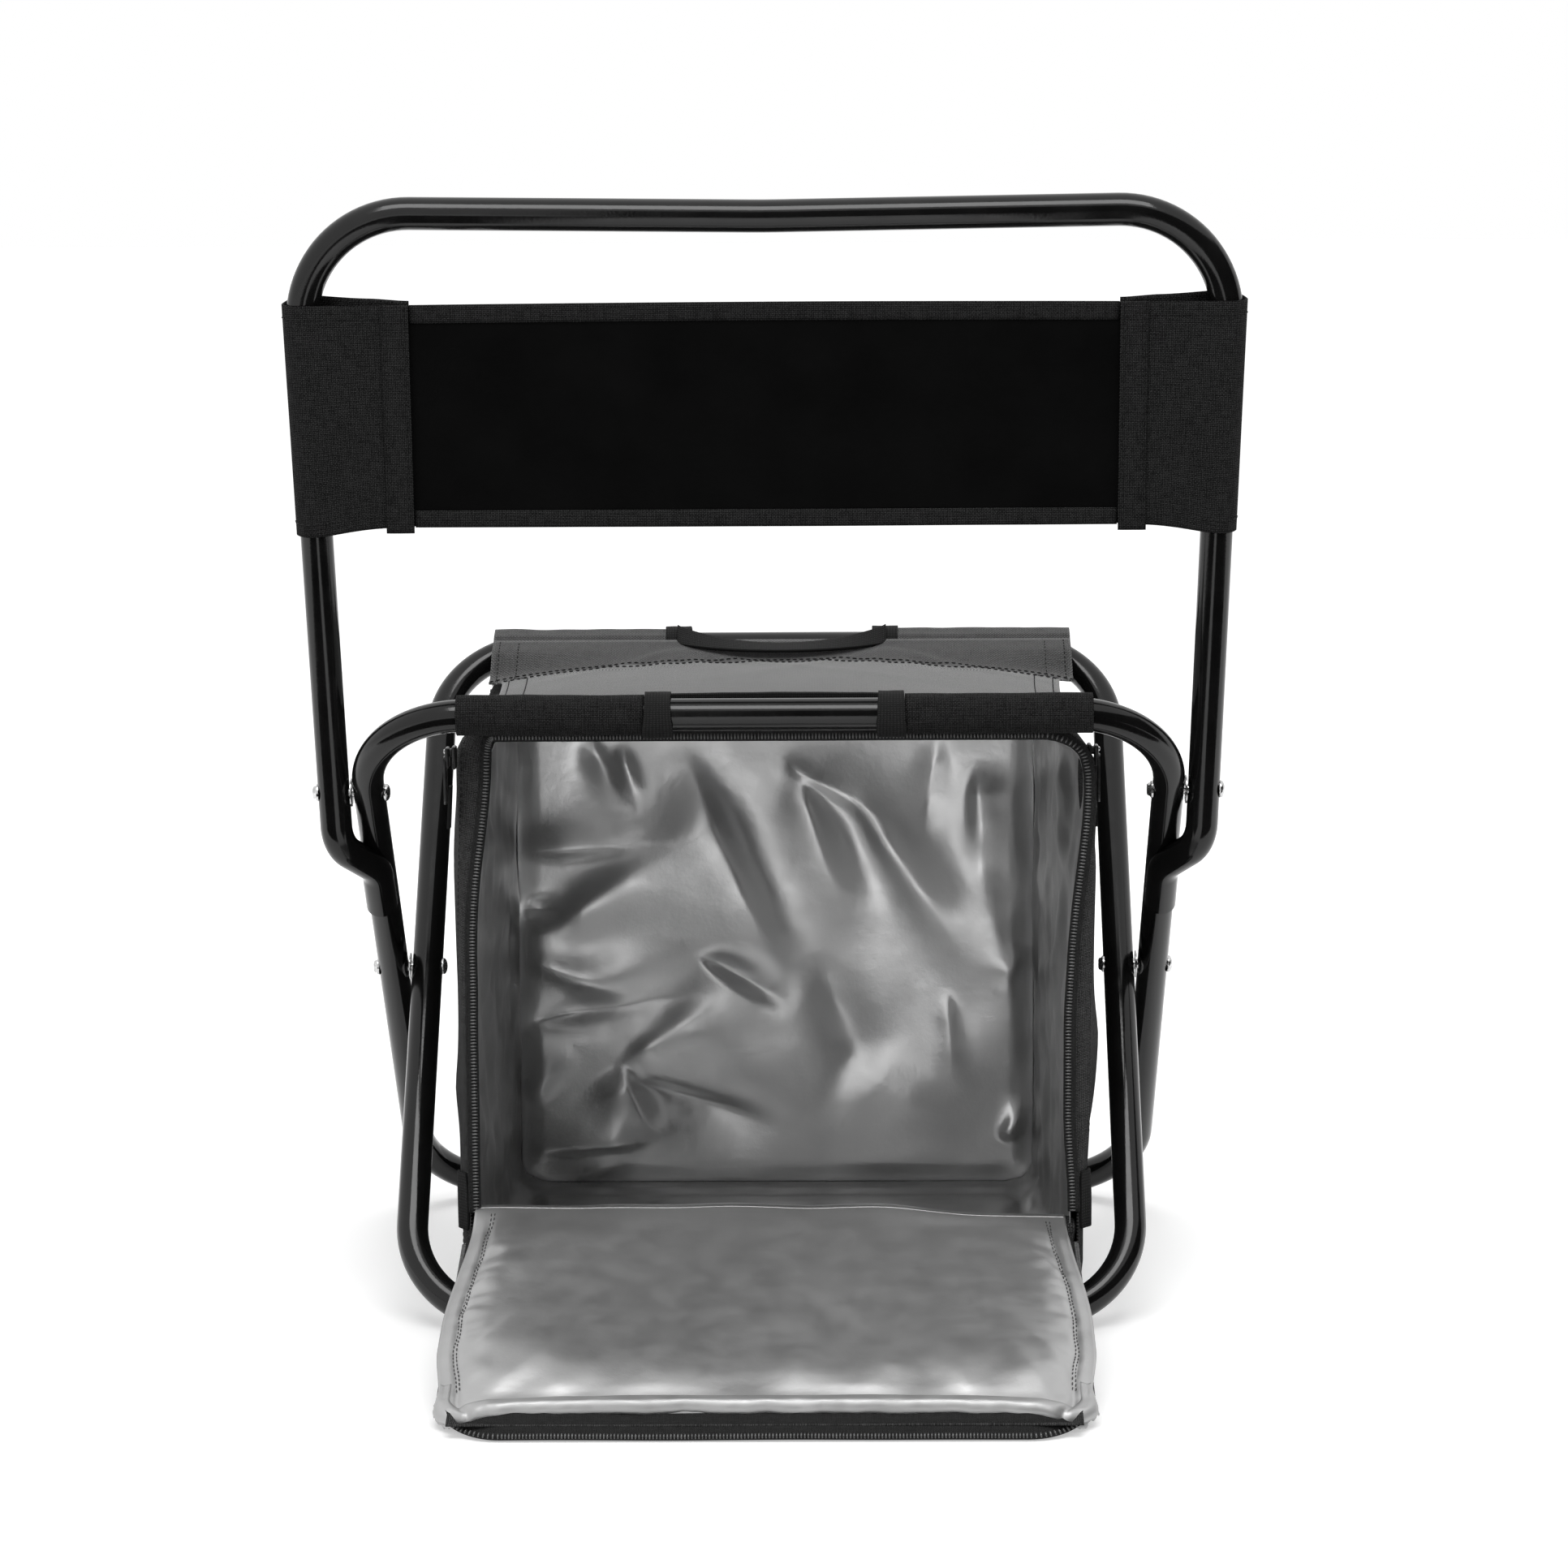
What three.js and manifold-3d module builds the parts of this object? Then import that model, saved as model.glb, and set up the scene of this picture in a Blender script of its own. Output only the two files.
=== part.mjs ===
// Folding stool with a cooler bag under the seat and a backrest that folds forward.
// Millimetres, +Z up, the sitter faces +Y. The bag opens to -Y, under the backrest.
// Two tube loops cross like an X and turn on two rivets. The seat fabric ties their top bars.

import * as THREE from 'three';
import { mergeVertices } from 'three/addons/utils/BufferGeometryUtils.js';
import Module from 'manifold-3d';

const wasm = await Module();
wasm.setup();
const radians = THREE.MathUtils.degToRad;

// Tubes of the two leg loops and the backrest
const tubeRadius = 8;
const tubeWall = 1.2;
const tubeSides = 16;
const boreSides = 8;
const bendRadius = 52.6;
const bendStep = radians(15);
const legLean = radians(41.85);
const outerHalfWidth = 199.6;
const loopHalfLength = 204.2;
const spliceGap = 0.4;
const plugLength = 60;
const plugWall = 1.2;

// Backrest: its rivet sits a little below the bend at the top of the outer leg, and the rest is
// measured from the rivet
const rivetBelowBend = 6.5;
const backrestLean = radians(6.1);
const backrestSplay = radians(1.7);
const backrestLength = 289.9;
const topBarDip = 3;
const topBarBendRadius = 526;
const hookDrop = 28;
const hookBendRadius = 20;
const hookTurnAlong = 50;
const hookEndAlong = 80;
const hookOffset = 9.2;

// Rivets and washers
const rivetRadius = 2.5;
const rivetHeadRadius = 4.5;
const rivetHeadHeight = 3;
const rivetShoulderRadius = 3;
const rivetShoulderHeight = 2.2;
const rivetSides = 12;
const washerRadius = 7.5;
const washerThickness = 0.8;

// Clearances between pieces that touch, and round a pin. Corners closer than weldGap are one corner.
const seatGap = 0.3;
const pinGap = 0.35;
const weldGap = 0.001;

// Fabric: seat, sleeves on the bars and webbing handles
const sleeveThickness = 1.2;
const sleeveEndInset = 44.6;
const bareBarHalfLength = 50.5;
const webbingWidth = 13;
const webbingThickness = 1.4;
const nearStrapArc = radians(75);
const farStrapBow = 28;
const seatThickness = 2;
const seatDrop = 2;
const seatSideInset = 3;

// Backrest fabric, measured up the tube from the rivet
const slingBottom = 134;
const slingTop = 245;
const tunnelDepth = 36;
const tunnelSeamThickness = 3.2;
const slingThickness = 1.6;

// Cooler bag: shell, foam boards and lining
const bagSideClearance = 17.7;
const bagSetback = 16.2;
const bagFloorHeight = 8;
const bagTopRadius = 26;
const bagBottomRadius = 26;
const lipHeight = 52;
const shellThickness = 1.2;
const foamThickness = 5;
const liningThickness = 0.8;
const cornerSteps = 5;

// Zip: tape round the opening, sliders on the side walls and their pulls
const zipTapeWidth = 11;
const zipTapeThickness = 1.6;
const zipFootRise = 15;
const sliderWidth = 9;
const sliderHeight = 12;
const sliderDepth = 3.2;
const sliderBelowBar = 24;
const sliderSetback = 8;
const pullBarRadius = 0.7;
const pullBarrelWall = 0.8;
const pullBarrelLength = 5.4;
const pullPostWidth = 1.2;
const pullWidth = 8;
const pullLength = 24;
const pullThickness = 1.5;
const tailWidth = 7;
const tailLength = 24;
const tailThickness = 2;
const tailStart = 12;
const endTabWidth = 13;
const endTabLength = 30;
const endTabThickness = 2.2;
const endTabRise = 18;

// Flap, open and lying with its front edge on the floor
const flapSideInset = 3.5;
const flapLength = 196;
const flapFrontRadius = 28;
const flapFoamInset = 9;
const flapTapeReach = 9;

// Sizes that follow from the ones above
const tubeReach = tubeRadius / Math.cos(Math.PI / tubeSides);
const tubePitch = 2 * tubeReach + washerThickness + 2 * seatGap;
const innerHalfWidth = outerHalfWidth - tubePitch;
const backrestHalfWidth = outerHalfWidth + tubePitch;
const backrestRivetAlong = loopHalfLength - bendRadius - rivetBelowBend;
const barDepth = loopHalfLength * Math.sin(legLean);
const crossingHeight = tubeRadius + loopHalfLength * Math.cos(legLean);
const barHeight = crossingHeight + loopHalfLength * Math.cos(legLean);
const boreRadius = tubeRadius - tubeWall;
const sleeveBore = tubeReach + seatGap;
const sleeveRadius = sleeveBore + sleeveThickness;
const wrapRadius = sleeveBore + webbingThickness;
const wrapReach = wrapRadius / Math.cos(Math.PI / tubeSides);
const sleeveHalfLength = outerHalfWidth - sleeveEndInset;
const sleeveStart = bareBarHalfLength + webbingWidth + seatGap;
const seatTop = barHeight - seatDrop;
const seatHalfDepth = barDepth - wrapReach - seatGap;
const bagHalfWidth = innerHalfWidth - tubeReach - bagSideClearance;
const bagHalfDepth = barDepth - bagSetback;
const bagTop = seatTop - seatThickness - seatGap;
const lipTop = bagFloorHeight + lipHeight;
const foamInset = shellThickness + seatGap;
const liningInset = foamInset + foamThickness + seatGap;
const rivetBore = rivetRadius + pinGap;
const tunnelBore = sleeveBore + seatGap;
const tunnelRadius = tunnelBore + sleeveThickness;

const group = new THREE.Group();

function finish(colour, roughness, metalness) {
  return new THREE.MeshStandardMaterial({ color: colour, roughness, metalness });
}

const blackPaint = () => finish(0x0d0d0e, 0.25, 0.3);
const brightSteel = () => finish(0xc4c4c6, 0.3, 1);
const charcoalFabric = () => finish(0x262628, 0.9, 0);
const blackWebbing = () => finish(0x141415, 0.8, 0);
const silverLining = () => finish(0x9c9c9e, 0.35, 0.5);
const whiteFoam = () => finish(0xe4e4e0, 0.95, 0);

function addNode(parent, name, geometry, material) {
  const mesh = new THREE.Mesh(geometry, material);
  mesh.name = name;
  parent.add(mesh);
  return mesh;
}

function addFrame(y, z, turn) {
  const frame = new THREE.Group();
  frame.position.set(0, y, z);
  frame.rotation.x = turn;
  group.add(frame);
  return frame;
}

// Joining and cutting closed meshes
function solidOf(geometry) {
  const bare = geometry.clone();
  bare.deleteAttribute('normal');
  bare.deleteAttribute('uv');
  const merged = mergeVertices(bare, weldGap);
  const vertProperties = new Float32Array(merged.attributes.position.array);
  const triVerts = new Uint32Array(merged.index.array);
  return new wasm.Manifold(new wasm.Mesh({ numProp: 3, vertProperties, triVerts }));
}

function geometryOf(solid) {
  const mesh = solid.getMesh();
  const geometry = new THREE.BufferGeometry();
  geometry.setAttribute('position', new THREE.BufferAttribute(mesh.vertProperties, mesh.numProp));
  geometry.setIndex(new THREE.BufferAttribute(mesh.triVerts, 1));
  return geometry;
}

function cut(geometry, ...tools) {
  return geometryOf(tools.reduce((left, tool) => left.subtract(solidOf(tool)), solidOf(geometry)));
}

function join(...pieces) {
  return geometryOf(pieces.map(solidOf).reduce((whole, piece) => whole.add(piece)));
}

// Regular polygon given by the distance to its flats, with one flat facing flatAngle
function polygon(sides, flatRadius, flatAngle) {
  const reach = flatRadius / Math.cos(Math.PI / sides);
  return Array.from({ length: sides }, (_, i) => {
    const angle = flatAngle + (2 * Math.PI * (i + 0.5)) / sides;
    return new THREE.Vector2(reach * Math.cos(angle), reach * Math.sin(angle));
  });
}

function ringShape(outer, inner) {
  const shape = new THREE.Shape(outer);
  shape.holes.push(new THREE.Path(inner));
  return shape;
}

// Centreline of straight runs joined by arcs, with a ring only where the tube begins or goes on turning
class BentPath extends THREE.Curve {
  constructor(corners) {
    super();
    this.rings = [];
    this.headings = [];
    corners.forEach((corner, i) => {
      const before = corners[Math.max(i - 1, 0)].at;
      const after = corners[Math.min(i + 1, corners.length - 1)].at;
      if (corner.radius) {
        this.addBend(before, corner.at, after, corner.radius);
      } else {
        this.addRing(corner.at, after.clone().sub(before).normalize());
      }
    });
  }

  addRing(point, heading) {
    this.rings.push(point);
    this.headings.push(heading);
  }

  addBend(before, at, after, radius) {
    const into = at.clone().sub(before).normalize();
    const out = after.clone().sub(at).normalize();
    const angle = into.angleTo(out);
    const axis = into.clone().cross(out).normalize();
    const start = at.clone().addScaledVector(into, -radius * Math.tan(angle / 2));
    const centre = start.clone().addScaledVector(axis.clone().cross(into), radius);
    const steps = Math.max(2, Math.round(angle / bendStep));
    for (let k = 0; k <= steps; k += 1) {
      const turn = (angle * k) / steps;
      const spoke = start.clone().sub(centre).applyAxisAngle(axis, turn);
      this.addRing(spoke.add(centre), into.clone().applyAxisAngle(axis, turn));
    }
  }

  getPoint(t) {
    const place = t * (this.rings.length - 1);
    const i = Math.min(Math.floor(place), this.rings.length - 2);
    return this.rings[i].clone().lerp(this.rings[i + 1], place - i);
  }

  getTangent(t) {
    return this.headings[Math.round(t * (this.rings.length - 1))].clone();
  }

  getUtoTmapping(u) {
    return u;
  }
}

function tubeAlong(path, shape) {
  return new THREE.ExtrudeGeometry(shape, { steps: path.rings.length - 1, extrudePath: path });
}

function point(x, y, z) {
  return new THREE.Vector3(x, y, z);
}

function slab(shape, thickness, curveSegments = cornerSteps) {
  return new THREE.ExtrudeGeometry(shape, { depth: thickness, bevelEnabled: false, curveSegments });
}

// A slab whose outline is seen along X: the outline's x is Y and its y is Z
function sideSlab(shape, thickness) {
  const turned = new THREE.Matrix4().makeBasis(point(0, 1, 0), point(0, 0, 1), point(1, 0, 0));
  return slab(shape, thickness).applyMatrix4(turned);
}

// A bar along X between two places, round the X axis moved to (y, z)
function barAlongX(shape, from, to, y, z) {
  return sideSlab(shape, to - from).translate(from, y, z);
}

function pinAlongX(radius, from, to, y) {
  const geometry = new THREE.CylinderGeometry(radius, radius, to - from, rivetSides);
  geometry.rotateZ(Math.PI / 2);
  return geometry.translate((from + to) / 2, y, 0);
}

// Leg loops. In a loop's own frame the crossing rivet is the origin and +Y runs up the legs.
function legLoop(halfWidth, flatAngle, rivetsAlong) {
  const section = ringShape(
    polygon(tubeSides, tubeRadius, flatAngle),
    polygon(boreSides, boreRadius, flatAngle),
  );
  const path = new BentPath([
    { at: point(spliceGap / 2, -loopHalfLength, 0) },
    { at: point(halfWidth, -loopHalfLength, 0), radius: bendRadius },
    { at: point(halfWidth, loopHalfLength, 0), radius: bendRadius },
    { at: point(-halfWidth, loopHalfLength, 0), radius: bendRadius },
    { at: point(-halfWidth, -loopHalfLength, 0), radius: bendRadius },
    { at: point(-spliceGap / 2, -loopHalfLength, 0) },
  ]);
  const reach = halfWidth + 2 * tubeReach;
  const bores = rivetsAlong.map((y) => pinAlongX(rivetBore, -reach, reach, y));
  return cut(tubeAlong(path, section), ...bores);
}

function splicePlug() {
  const radius = boreRadius - seatGap;
  const section = ringShape(polygon(boreSides, radius, 0), polygon(boreSides, radius - plugWall, 0));
  return barAlongX(section, -plugLength / 2, plugLength / 2, -loopHalfLength, 0);
}

const outerFrame = addFrame(0, crossingHeight, Math.PI / 2 + legLean);
const innerFrame = addFrame(0, crossingHeight, Math.PI / 2 - legLean);
const outerFlat = Math.atan2(-Math.cos(legLean), -Math.sin(legLean));
const innerFlat = Math.atan2(-Math.cos(legLean), Math.sin(legLean));

const outerLoop = legLoop(outerHalfWidth, outerFlat, [0, backrestRivetAlong]);
const innerLoop = legLoop(innerHalfWidth, innerFlat, [0]);
addNode(outerFrame, 'outer_leg_frame', outerLoop, blackPaint());
addNode(innerFrame, 'inner_leg_frame', innerLoop, blackPaint());
addNode(outerFrame, 'outer_splice_plug', splicePlug(), brightSteel());
addNode(innerFrame, 'inner_splice_plug', splicePlug(), brightSteel());

// Rivet with two domed heads, from the outer face of one tube to the inner face of its neighbour
function rivet(inside, outside) {
  const profile = [
    new THREE.Vector2(0, inside - rivetHeadHeight),
    new THREE.Vector2(rivetShoulderRadius, inside - rivetShoulderHeight),
    new THREE.Vector2(rivetHeadRadius, inside),
    new THREE.Vector2(rivetRadius, inside),
    new THREE.Vector2(rivetRadius, outside),
    new THREE.Vector2(rivetHeadRadius, outside),
    new THREE.Vector2(rivetShoulderRadius, outside + rivetShoulderHeight),
    new THREE.Vector2(0, outside + rivetHeadHeight),
  ];
  return new THREE.LatheGeometry(profile, rivetSides);
}

function washer() {
  const half = washerThickness / 2;
  const profile = [
    new THREE.Vector2(rivetBore, -half),
    new THREE.Vector2(washerRadius, -half),
    new THREE.Vector2(washerRadius, half),
    new THREE.Vector2(rivetBore, half),
    new THREE.Vector2(rivetBore, -half),
  ];
  return new THREE.LatheGeometry(profile, rivetSides);
}

// The lathe's axis is +Y, so each side turns it to point away from the middle of the stool
function addRivetJoint(name, side, word, innerTube, outerTube, along) {
  const inside = innerTube - tubeReach - seatGap / 2;
  const outside = outerTube + tubeReach + seatGap / 2;
  const pin = addNode(outerFrame, `${name}_rivet_${word}`, rivet(inside, outside), brightSteel());
  pin.rotation.z = (-side * Math.PI) / 2;
  pin.position.y = along;
  const ring = addNode(outerFrame, `${name}_washer_${word}`, washer(), brightSteel());
  ring.rotation.z = (-side * Math.PI) / 2;
  ring.position.set((side * (innerTube + outerTube)) / 2, along, 0);
}

const sides = [[-1, 'left'], [1, 'right']];

for (const [side, word] of sides) {
  addRivetJoint('crossing', side, word, innerHalfWidth, outerHalfWidth, 0);
  addRivetJoint('backrest', side, word, outerHalfWidth, backrestHalfWidth, backrestRivetAlong);
}

// Backrest. In its own frame the rivets are on the X axis and +Y runs up its middle.
const rivetY = -backrestRivetAlong * Math.sin(legLean);
const rivetZ = crossingHeight + backrestRivetAlong * Math.cos(legLean);
const backrestFrame = addFrame(rivetY, rivetZ, Math.PI / 2 + backrestLean);
const legTurn = legLean - backrestLean;

function sideTubeX(along) {
  return backrestHalfWidth + along * Math.tan(backrestSplay);
}

// A place beside the outer leg: along it from the rivet, and off it on the side that the hook lies on
function besideLeg(side, along, off) {
  const y = -along * Math.cos(legTurn) - off * Math.sin(legTurn);
  const z = -along * Math.sin(legTurn) + off * Math.cos(legTurn);
  return point(side * outerHalfWidth, y, z);
}

function backrestCorners(side) {
  return [
    { at: besideLeg(side, hookEndAlong, hookOffset) },
    { at: besideLeg(side, hookTurnAlong, hookOffset), radius: hookBendRadius },
    { at: point(side * sideTubeX(-hookDrop), -hookDrop, 0), radius: hookBendRadius },
    { at: point(side * sideTubeX(backrestLength), backrestLength, 0), radius: bendRadius },
  ];
}

// The hook ends are pressed round the legs: the leg's own cylinder opens them to half pipes
function legCutter(side) {
  const radius = tubeReach + seatGap;
  const length = 2 * hookEndAlong;
  const cutter = new THREE.CylinderGeometry(radius, radius, length, 2 * tubeSides);
  cutter.rotateX(legTurn);
  const middle = besideLeg(side, hookEndAlong, 0);
  return cutter.translate(middle.x, middle.y, middle.z);
}

function backrestTube() {
  const section = ringShape(polygon(tubeSides, tubeRadius, 0), polygon(boreSides, boreRadius, 0));
  const path = new BentPath([
    ...backrestCorners(1),
    { at: point(0, backrestLength - topBarDip, 0), radius: topBarBendRadius },
    ...backrestCorners(-1).reverse(),
  ]);
  const reach = backrestHalfWidth + 2 * tubeReach;
  const bore = pinAlongX(rivetBore, -reach, reach, 0);
  return cut(tubeAlong(path, section), bore, legCutter(1), legCutter(-1));
}

addNode(backrestFrame, 'backrest_frame', backrestTube(), blackPaint());

// Backrest fabric: a tunnel drawn to a seam beside each tube, and the panel between the seams
function tunnelShape() {
  const half = tunnelSeamThickness / 2;
  const seamReach = Math.hypot(tunnelDepth, half);
  const outerTangent = Math.atan2(half, tunnelDepth) + Math.acos(tunnelRadius / seamReach);
  const tip = tunnelDepth - 2 * tunnelSeamThickness;
  const innerTangent = Math.acos(tunnelBore / tip);
  const shape = new THREE.Shape();
  shape.moveTo(tunnelDepth, -half);
  shape.lineTo(tunnelDepth, half);
  shape.absarc(0, 0, tunnelRadius, outerTangent, 2 * Math.PI - outerTangent, false);
  const hole = new THREE.Path();
  hole.absarc(0, 0, tunnelBore, innerTangent, 2 * Math.PI - innerTangent, false);
  hole.lineTo(tip, 0);
  shape.holes.push(hole);
  return shape;
}

function tunnel(side) {
  const geometry = slab(tunnelShape(), slingTop - slingBottom, tubeSides);
  const inward = point(-side * Math.cos(backrestSplay), Math.sin(backrestSplay), 0);
  const upTube = point(side * Math.sin(backrestSplay), Math.cos(backrestSplay), 0);
  geometry.applyMatrix4(new THREE.Matrix4().makeBasis(inward, upTube.clone().cross(inward), upTube));
  const foot = upTube.multiplyScalar(slingBottom);
  return geometry.translate(side * backrestHalfWidth + foot.x, foot.y, foot.z);
}

function backrestPanel() {
  const seam = (tunnelDepth + seatGap) / Math.cos(backrestSplay);
  const low = slingBottom * Math.cos(backrestSplay);
  const high = slingTop * Math.cos(backrestSplay);
  const shape = new THREE.Shape([
    new THREE.Vector2(-sideTubeX(low) + seam, low),
    new THREE.Vector2(sideTubeX(low) - seam, low),
    new THREE.Vector2(sideTubeX(high) - seam, high),
    new THREE.Vector2(-sideTubeX(high) + seam, high),
  ]);
  return slab(shape, slingThickness).translate(0, 0, -slingThickness / 2);
}

for (const [side, word] of sides) {
  addNode(backrestFrame, `backrest_sleeve_${word}`, tunnel(side), charcoalFabric());
}
addNode(backrestFrame, 'backrest_panel', backrestPanel(), charcoalFabric());

// Sleeve on a top bar, which follows the bar a little way into its bend
function barSleeve(side, halfWidth) {
  const bendStart = halfWidth - bendRadius;
  const straightEnd = Math.min(bendStart, sleeveHalfLength);
  const turn = Math.asin((sleeveHalfLength - straightEnd) / bendRadius);
  const path = new BentPath([]);
  path.addRing(point(side * sleeveStart, loopHalfLength, 0), point(side, 0, 0));
  const steps = Math.max(1, Math.ceil(turn / bendStep));
  for (let k = 0; k <= steps; k += 1) {
    const angle = (turn * k) / steps;
    const x = side * (straightEnd + bendRadius * Math.sin(angle));
    const y = loopHalfLength - bendRadius * (1 - Math.cos(angle));
    path.addRing(point(x, y, 0), point(side * Math.cos(angle), -Math.sin(angle), 0));
  }
  const section = ringShape(polygon(tubeSides, sleeveRadius, 0), polygon(tubeSides, sleeveBore, 0));
  return tubeAlong(path, section);
}

for (const [side, word] of sides) {
  addNode(outerFrame, `near_bar_sleeve_${word}`, barSleeve(side, outerHalfWidth), charcoalFabric());
  addNode(innerFrame, `far_bar_sleeve_${word}`, barSleeve(side, innerHalfWidth), charcoalFabric());
}

// Handles: webbing wrapped round the bar at both ends of the bare stretch, with a strap between
function handleWraps(y) {
  const ring = ringShape(polygon(tubeSides, wrapRadius, 0), polygon(tubeSides, sleeveBore, 0));
  return sides.map(([side]) => {
    const middle = side * (bareBarHalfLength + webbingWidth / 2);
    return barAlongX(ring, middle - webbingWidth / 2, middle + webbingWidth / 2, y, barHeight);
  });
}

// The near strap lies along the back of its bar
function nearHandle() {
  const shape = new THREE.Shape();
  const bore = sleeveBore / Math.cos(Math.PI / tubeSides);
  shape.absarc(0, 0, wrapRadius, 0, nearStrapArc, false);
  shape.absarc(0, 0, bore, nearStrapArc, 0, true);
  const overlap = bareBarHalfLength + webbingWidth / 2;
  return join(...handleWraps(-barDepth), barAlongX(shape, -overlap, overlap, -barDepth, barHeight));
}

// The far strap lies on the seat in a shallow bow in front of its bar
function farHandle() {
  const edge = barDepth - wrapRadius + webbingThickness / 2;
  const half = bareBarHalfLength + webbingWidth;
  const radius = (half * half + farStrapBow * farStrapBow) / (2 * farStrapBow);
  const centre = edge - farStrapBow + radius;
  const spread = Math.asin(half / radius);
  const low = -Math.PI / 2 - spread;
  const high = -Math.PI / 2 + spread;
  const shape = new THREE.Shape();
  shape.absarc(0, centre, radius, low, high, false);
  shape.absarc(0, centre, radius - webbingWidth, high, low, true);
  const strap = slab(shape, webbingThickness, tubeSides);
  const bar = barAlongX(
    new THREE.Shape(polygon(tubeSides, sleeveBore, 0)),
    -half - webbingWidth,
    half + webbingWidth,
    barDepth,
    barHeight,
  );
  const strapOnSeat = cut(strap.translate(0, 0, seatTop + seatGap), bar);
  return join(...handleWraps(barDepth), strapOnSeat);
}

addNode(group, 'near_handle', nearHandle(), blackWebbing());
addNode(group, 'far_handle', farHandle(), blackWebbing());

// The seat's ends draw in where the bars begin to bend down
function seatPanel() {
  const halfWidth = sleeveHalfLength - seatSideInset;
  const bendStart = Math.min(innerHalfWidth - bendRadius, halfWidth - seatSideInset);
  const turn = Math.asin((sleeveHalfLength - bendStart) / bendRadius);
  const drawIn = bendRadius * (1 - Math.cos(turn)) * Math.sin(legLean) + seatGap;
  const shape = new THREE.Shape();
  shape.moveTo(bendStart, -seatHalfDepth);
  shape.lineTo(halfWidth, drawIn - seatHalfDepth);
  shape.lineTo(halfWidth, seatHalfDepth - drawIn);
  shape.lineTo(bendStart, seatHalfDepth);
  shape.lineTo(-bendStart, seatHalfDepth);
  shape.lineTo(-halfWidth, seatHalfDepth - drawIn);
  shape.lineTo(-halfWidth, drawIn - seatHalfDepth);
  shape.lineTo(-bendStart, -seatHalfDepth);
  return slab(shape, seatThickness).translate(0, 0, seatTop - seatThickness);
}

addNode(group, 'seat_panel', seatPanel(), charcoalFabric());

// Outline of the bag seen from the front, drawn in by inset on every side
function bagOutline(inset) {
  const x = bagHalfWidth - inset;
  const low = bagFloorHeight + inset;
  const high = bagTop - inset;
  const topRadius = bagTopRadius - inset;
  const lowRadius = bagBottomRadius - inset;
  const shape = new THREE.Shape();
  shape.absarc(x - topRadius, high - topRadius, topRadius, 0, Math.PI / 2, false);
  shape.absarc(-x + topRadius, high - topRadius, topRadius, Math.PI / 2, Math.PI, false);
  shape.absarc(-x + lowRadius, low + lowRadius, lowRadius, Math.PI, 1.5 * Math.PI, false);
  shape.absarc(x - lowRadius, low + lowRadius, lowRadius, 1.5 * Math.PI, 2 * Math.PI, false);
  return shape;
}

// Turns an outline seen from the front into a solid from near to far
function frontSlab(shape, near, far) {
  return slab(shape, far - near).rotateX(Math.PI / 2).translate(0, far, 0);
}

// A block that spans the bag between two heights, from in front of its near face to a depth behind it
function nearBlock(depth, low, high) {
  const reach = 2 * bagHalfWidth;
  const block = new THREE.BoxGeometry(2 * reach, reach + depth, high - low);
  return block.translate(0, -bagHalfDepth + (depth - reach) / 2, (low + high) / 2);
}

// A box wall that is open towards -Y above a low lip. The lip's front face is as deep as the inset.
function openBox(inset, wall) {
  const far = bagHalfDepth - inset;
  const outside = frontSlab(bagOutline(inset), -bagHalfDepth, far);
  const inside = frontSlab(bagOutline(inset + wall), -bagHalfDepth - wall, far - wall);
  const lipFront = nearBlock(inset, -bagTop, lipTop);
  const lipBack = nearBlock(inset + wall, -bagTop, lipTop);
  return cut(cut(outside, lipFront), cut(inside, lipBack));
}

addNode(group, 'bag_shell', openBox(0, shellThickness), charcoalFabric());
addNode(group, 'bag_lining', openBox(liningInset, liningThickness), silverLining());

// Foam boards between shell and lining, one to a wall. They stop short of the rounded corners.
const backBoardNear = bagHalfDepth - foamInset - foamThickness;
const boardFar = backBoardNear - seatGap;
const boardNear = -bagHalfDepth + foamInset;
const boardDepth = boardFar - boardNear;
const boardMiddle = (boardFar + boardNear) / 2;
const sideBoardLow = bagFloorHeight + bagBottomRadius;
const sideBoardHigh = bagTop - bagTopRadius;

function sideBoard(side) {
  const board = new THREE.BoxGeometry(foamThickness, boardDepth, sideBoardHigh - sideBoardLow);
  const x = side * (bagHalfWidth - foamInset - foamThickness / 2);
  return board.translate(x, boardMiddle, (sideBoardLow + sideBoardHigh) / 2);
}

function levelBoard(halfWidth, bottom) {
  const board = new THREE.BoxGeometry(2 * halfWidth, boardDepth, foamThickness);
  return board.translate(0, boardMiddle, bottom + foamThickness / 2);
}

for (const [side, word] of sides) {
  addNode(group, `foam_${word}`, sideBoard(side), whiteFoam());
}
const floorBoard = levelBoard(bagHalfWidth - bagBottomRadius, bagFloorHeight + foamInset);
const topBoard = levelBoard(bagHalfWidth - bagTopRadius, bagTop - foamInset - foamThickness);
addNode(group, 'foam_floor', floorBoard, whiteFoam());
addNode(group, 'foam_top', topBoard, whiteFoam());
const backBoard = frontSlab(bagOutline(foamInset), backBoardNear, backBoardNear + foamThickness);
addNode(group, 'foam_back', backBoard, whiteFoam());
const lipBoard = cut(
  frontSlab(bagOutline(liningInset), boardNear, boardNear + foamThickness),
  nearBlock(2 * bagHalfDepth, lipTop - seatGap, 2 * bagTop),
);
addNode(group, 'foam_lip', lipBoard, whiteFoam());

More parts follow.
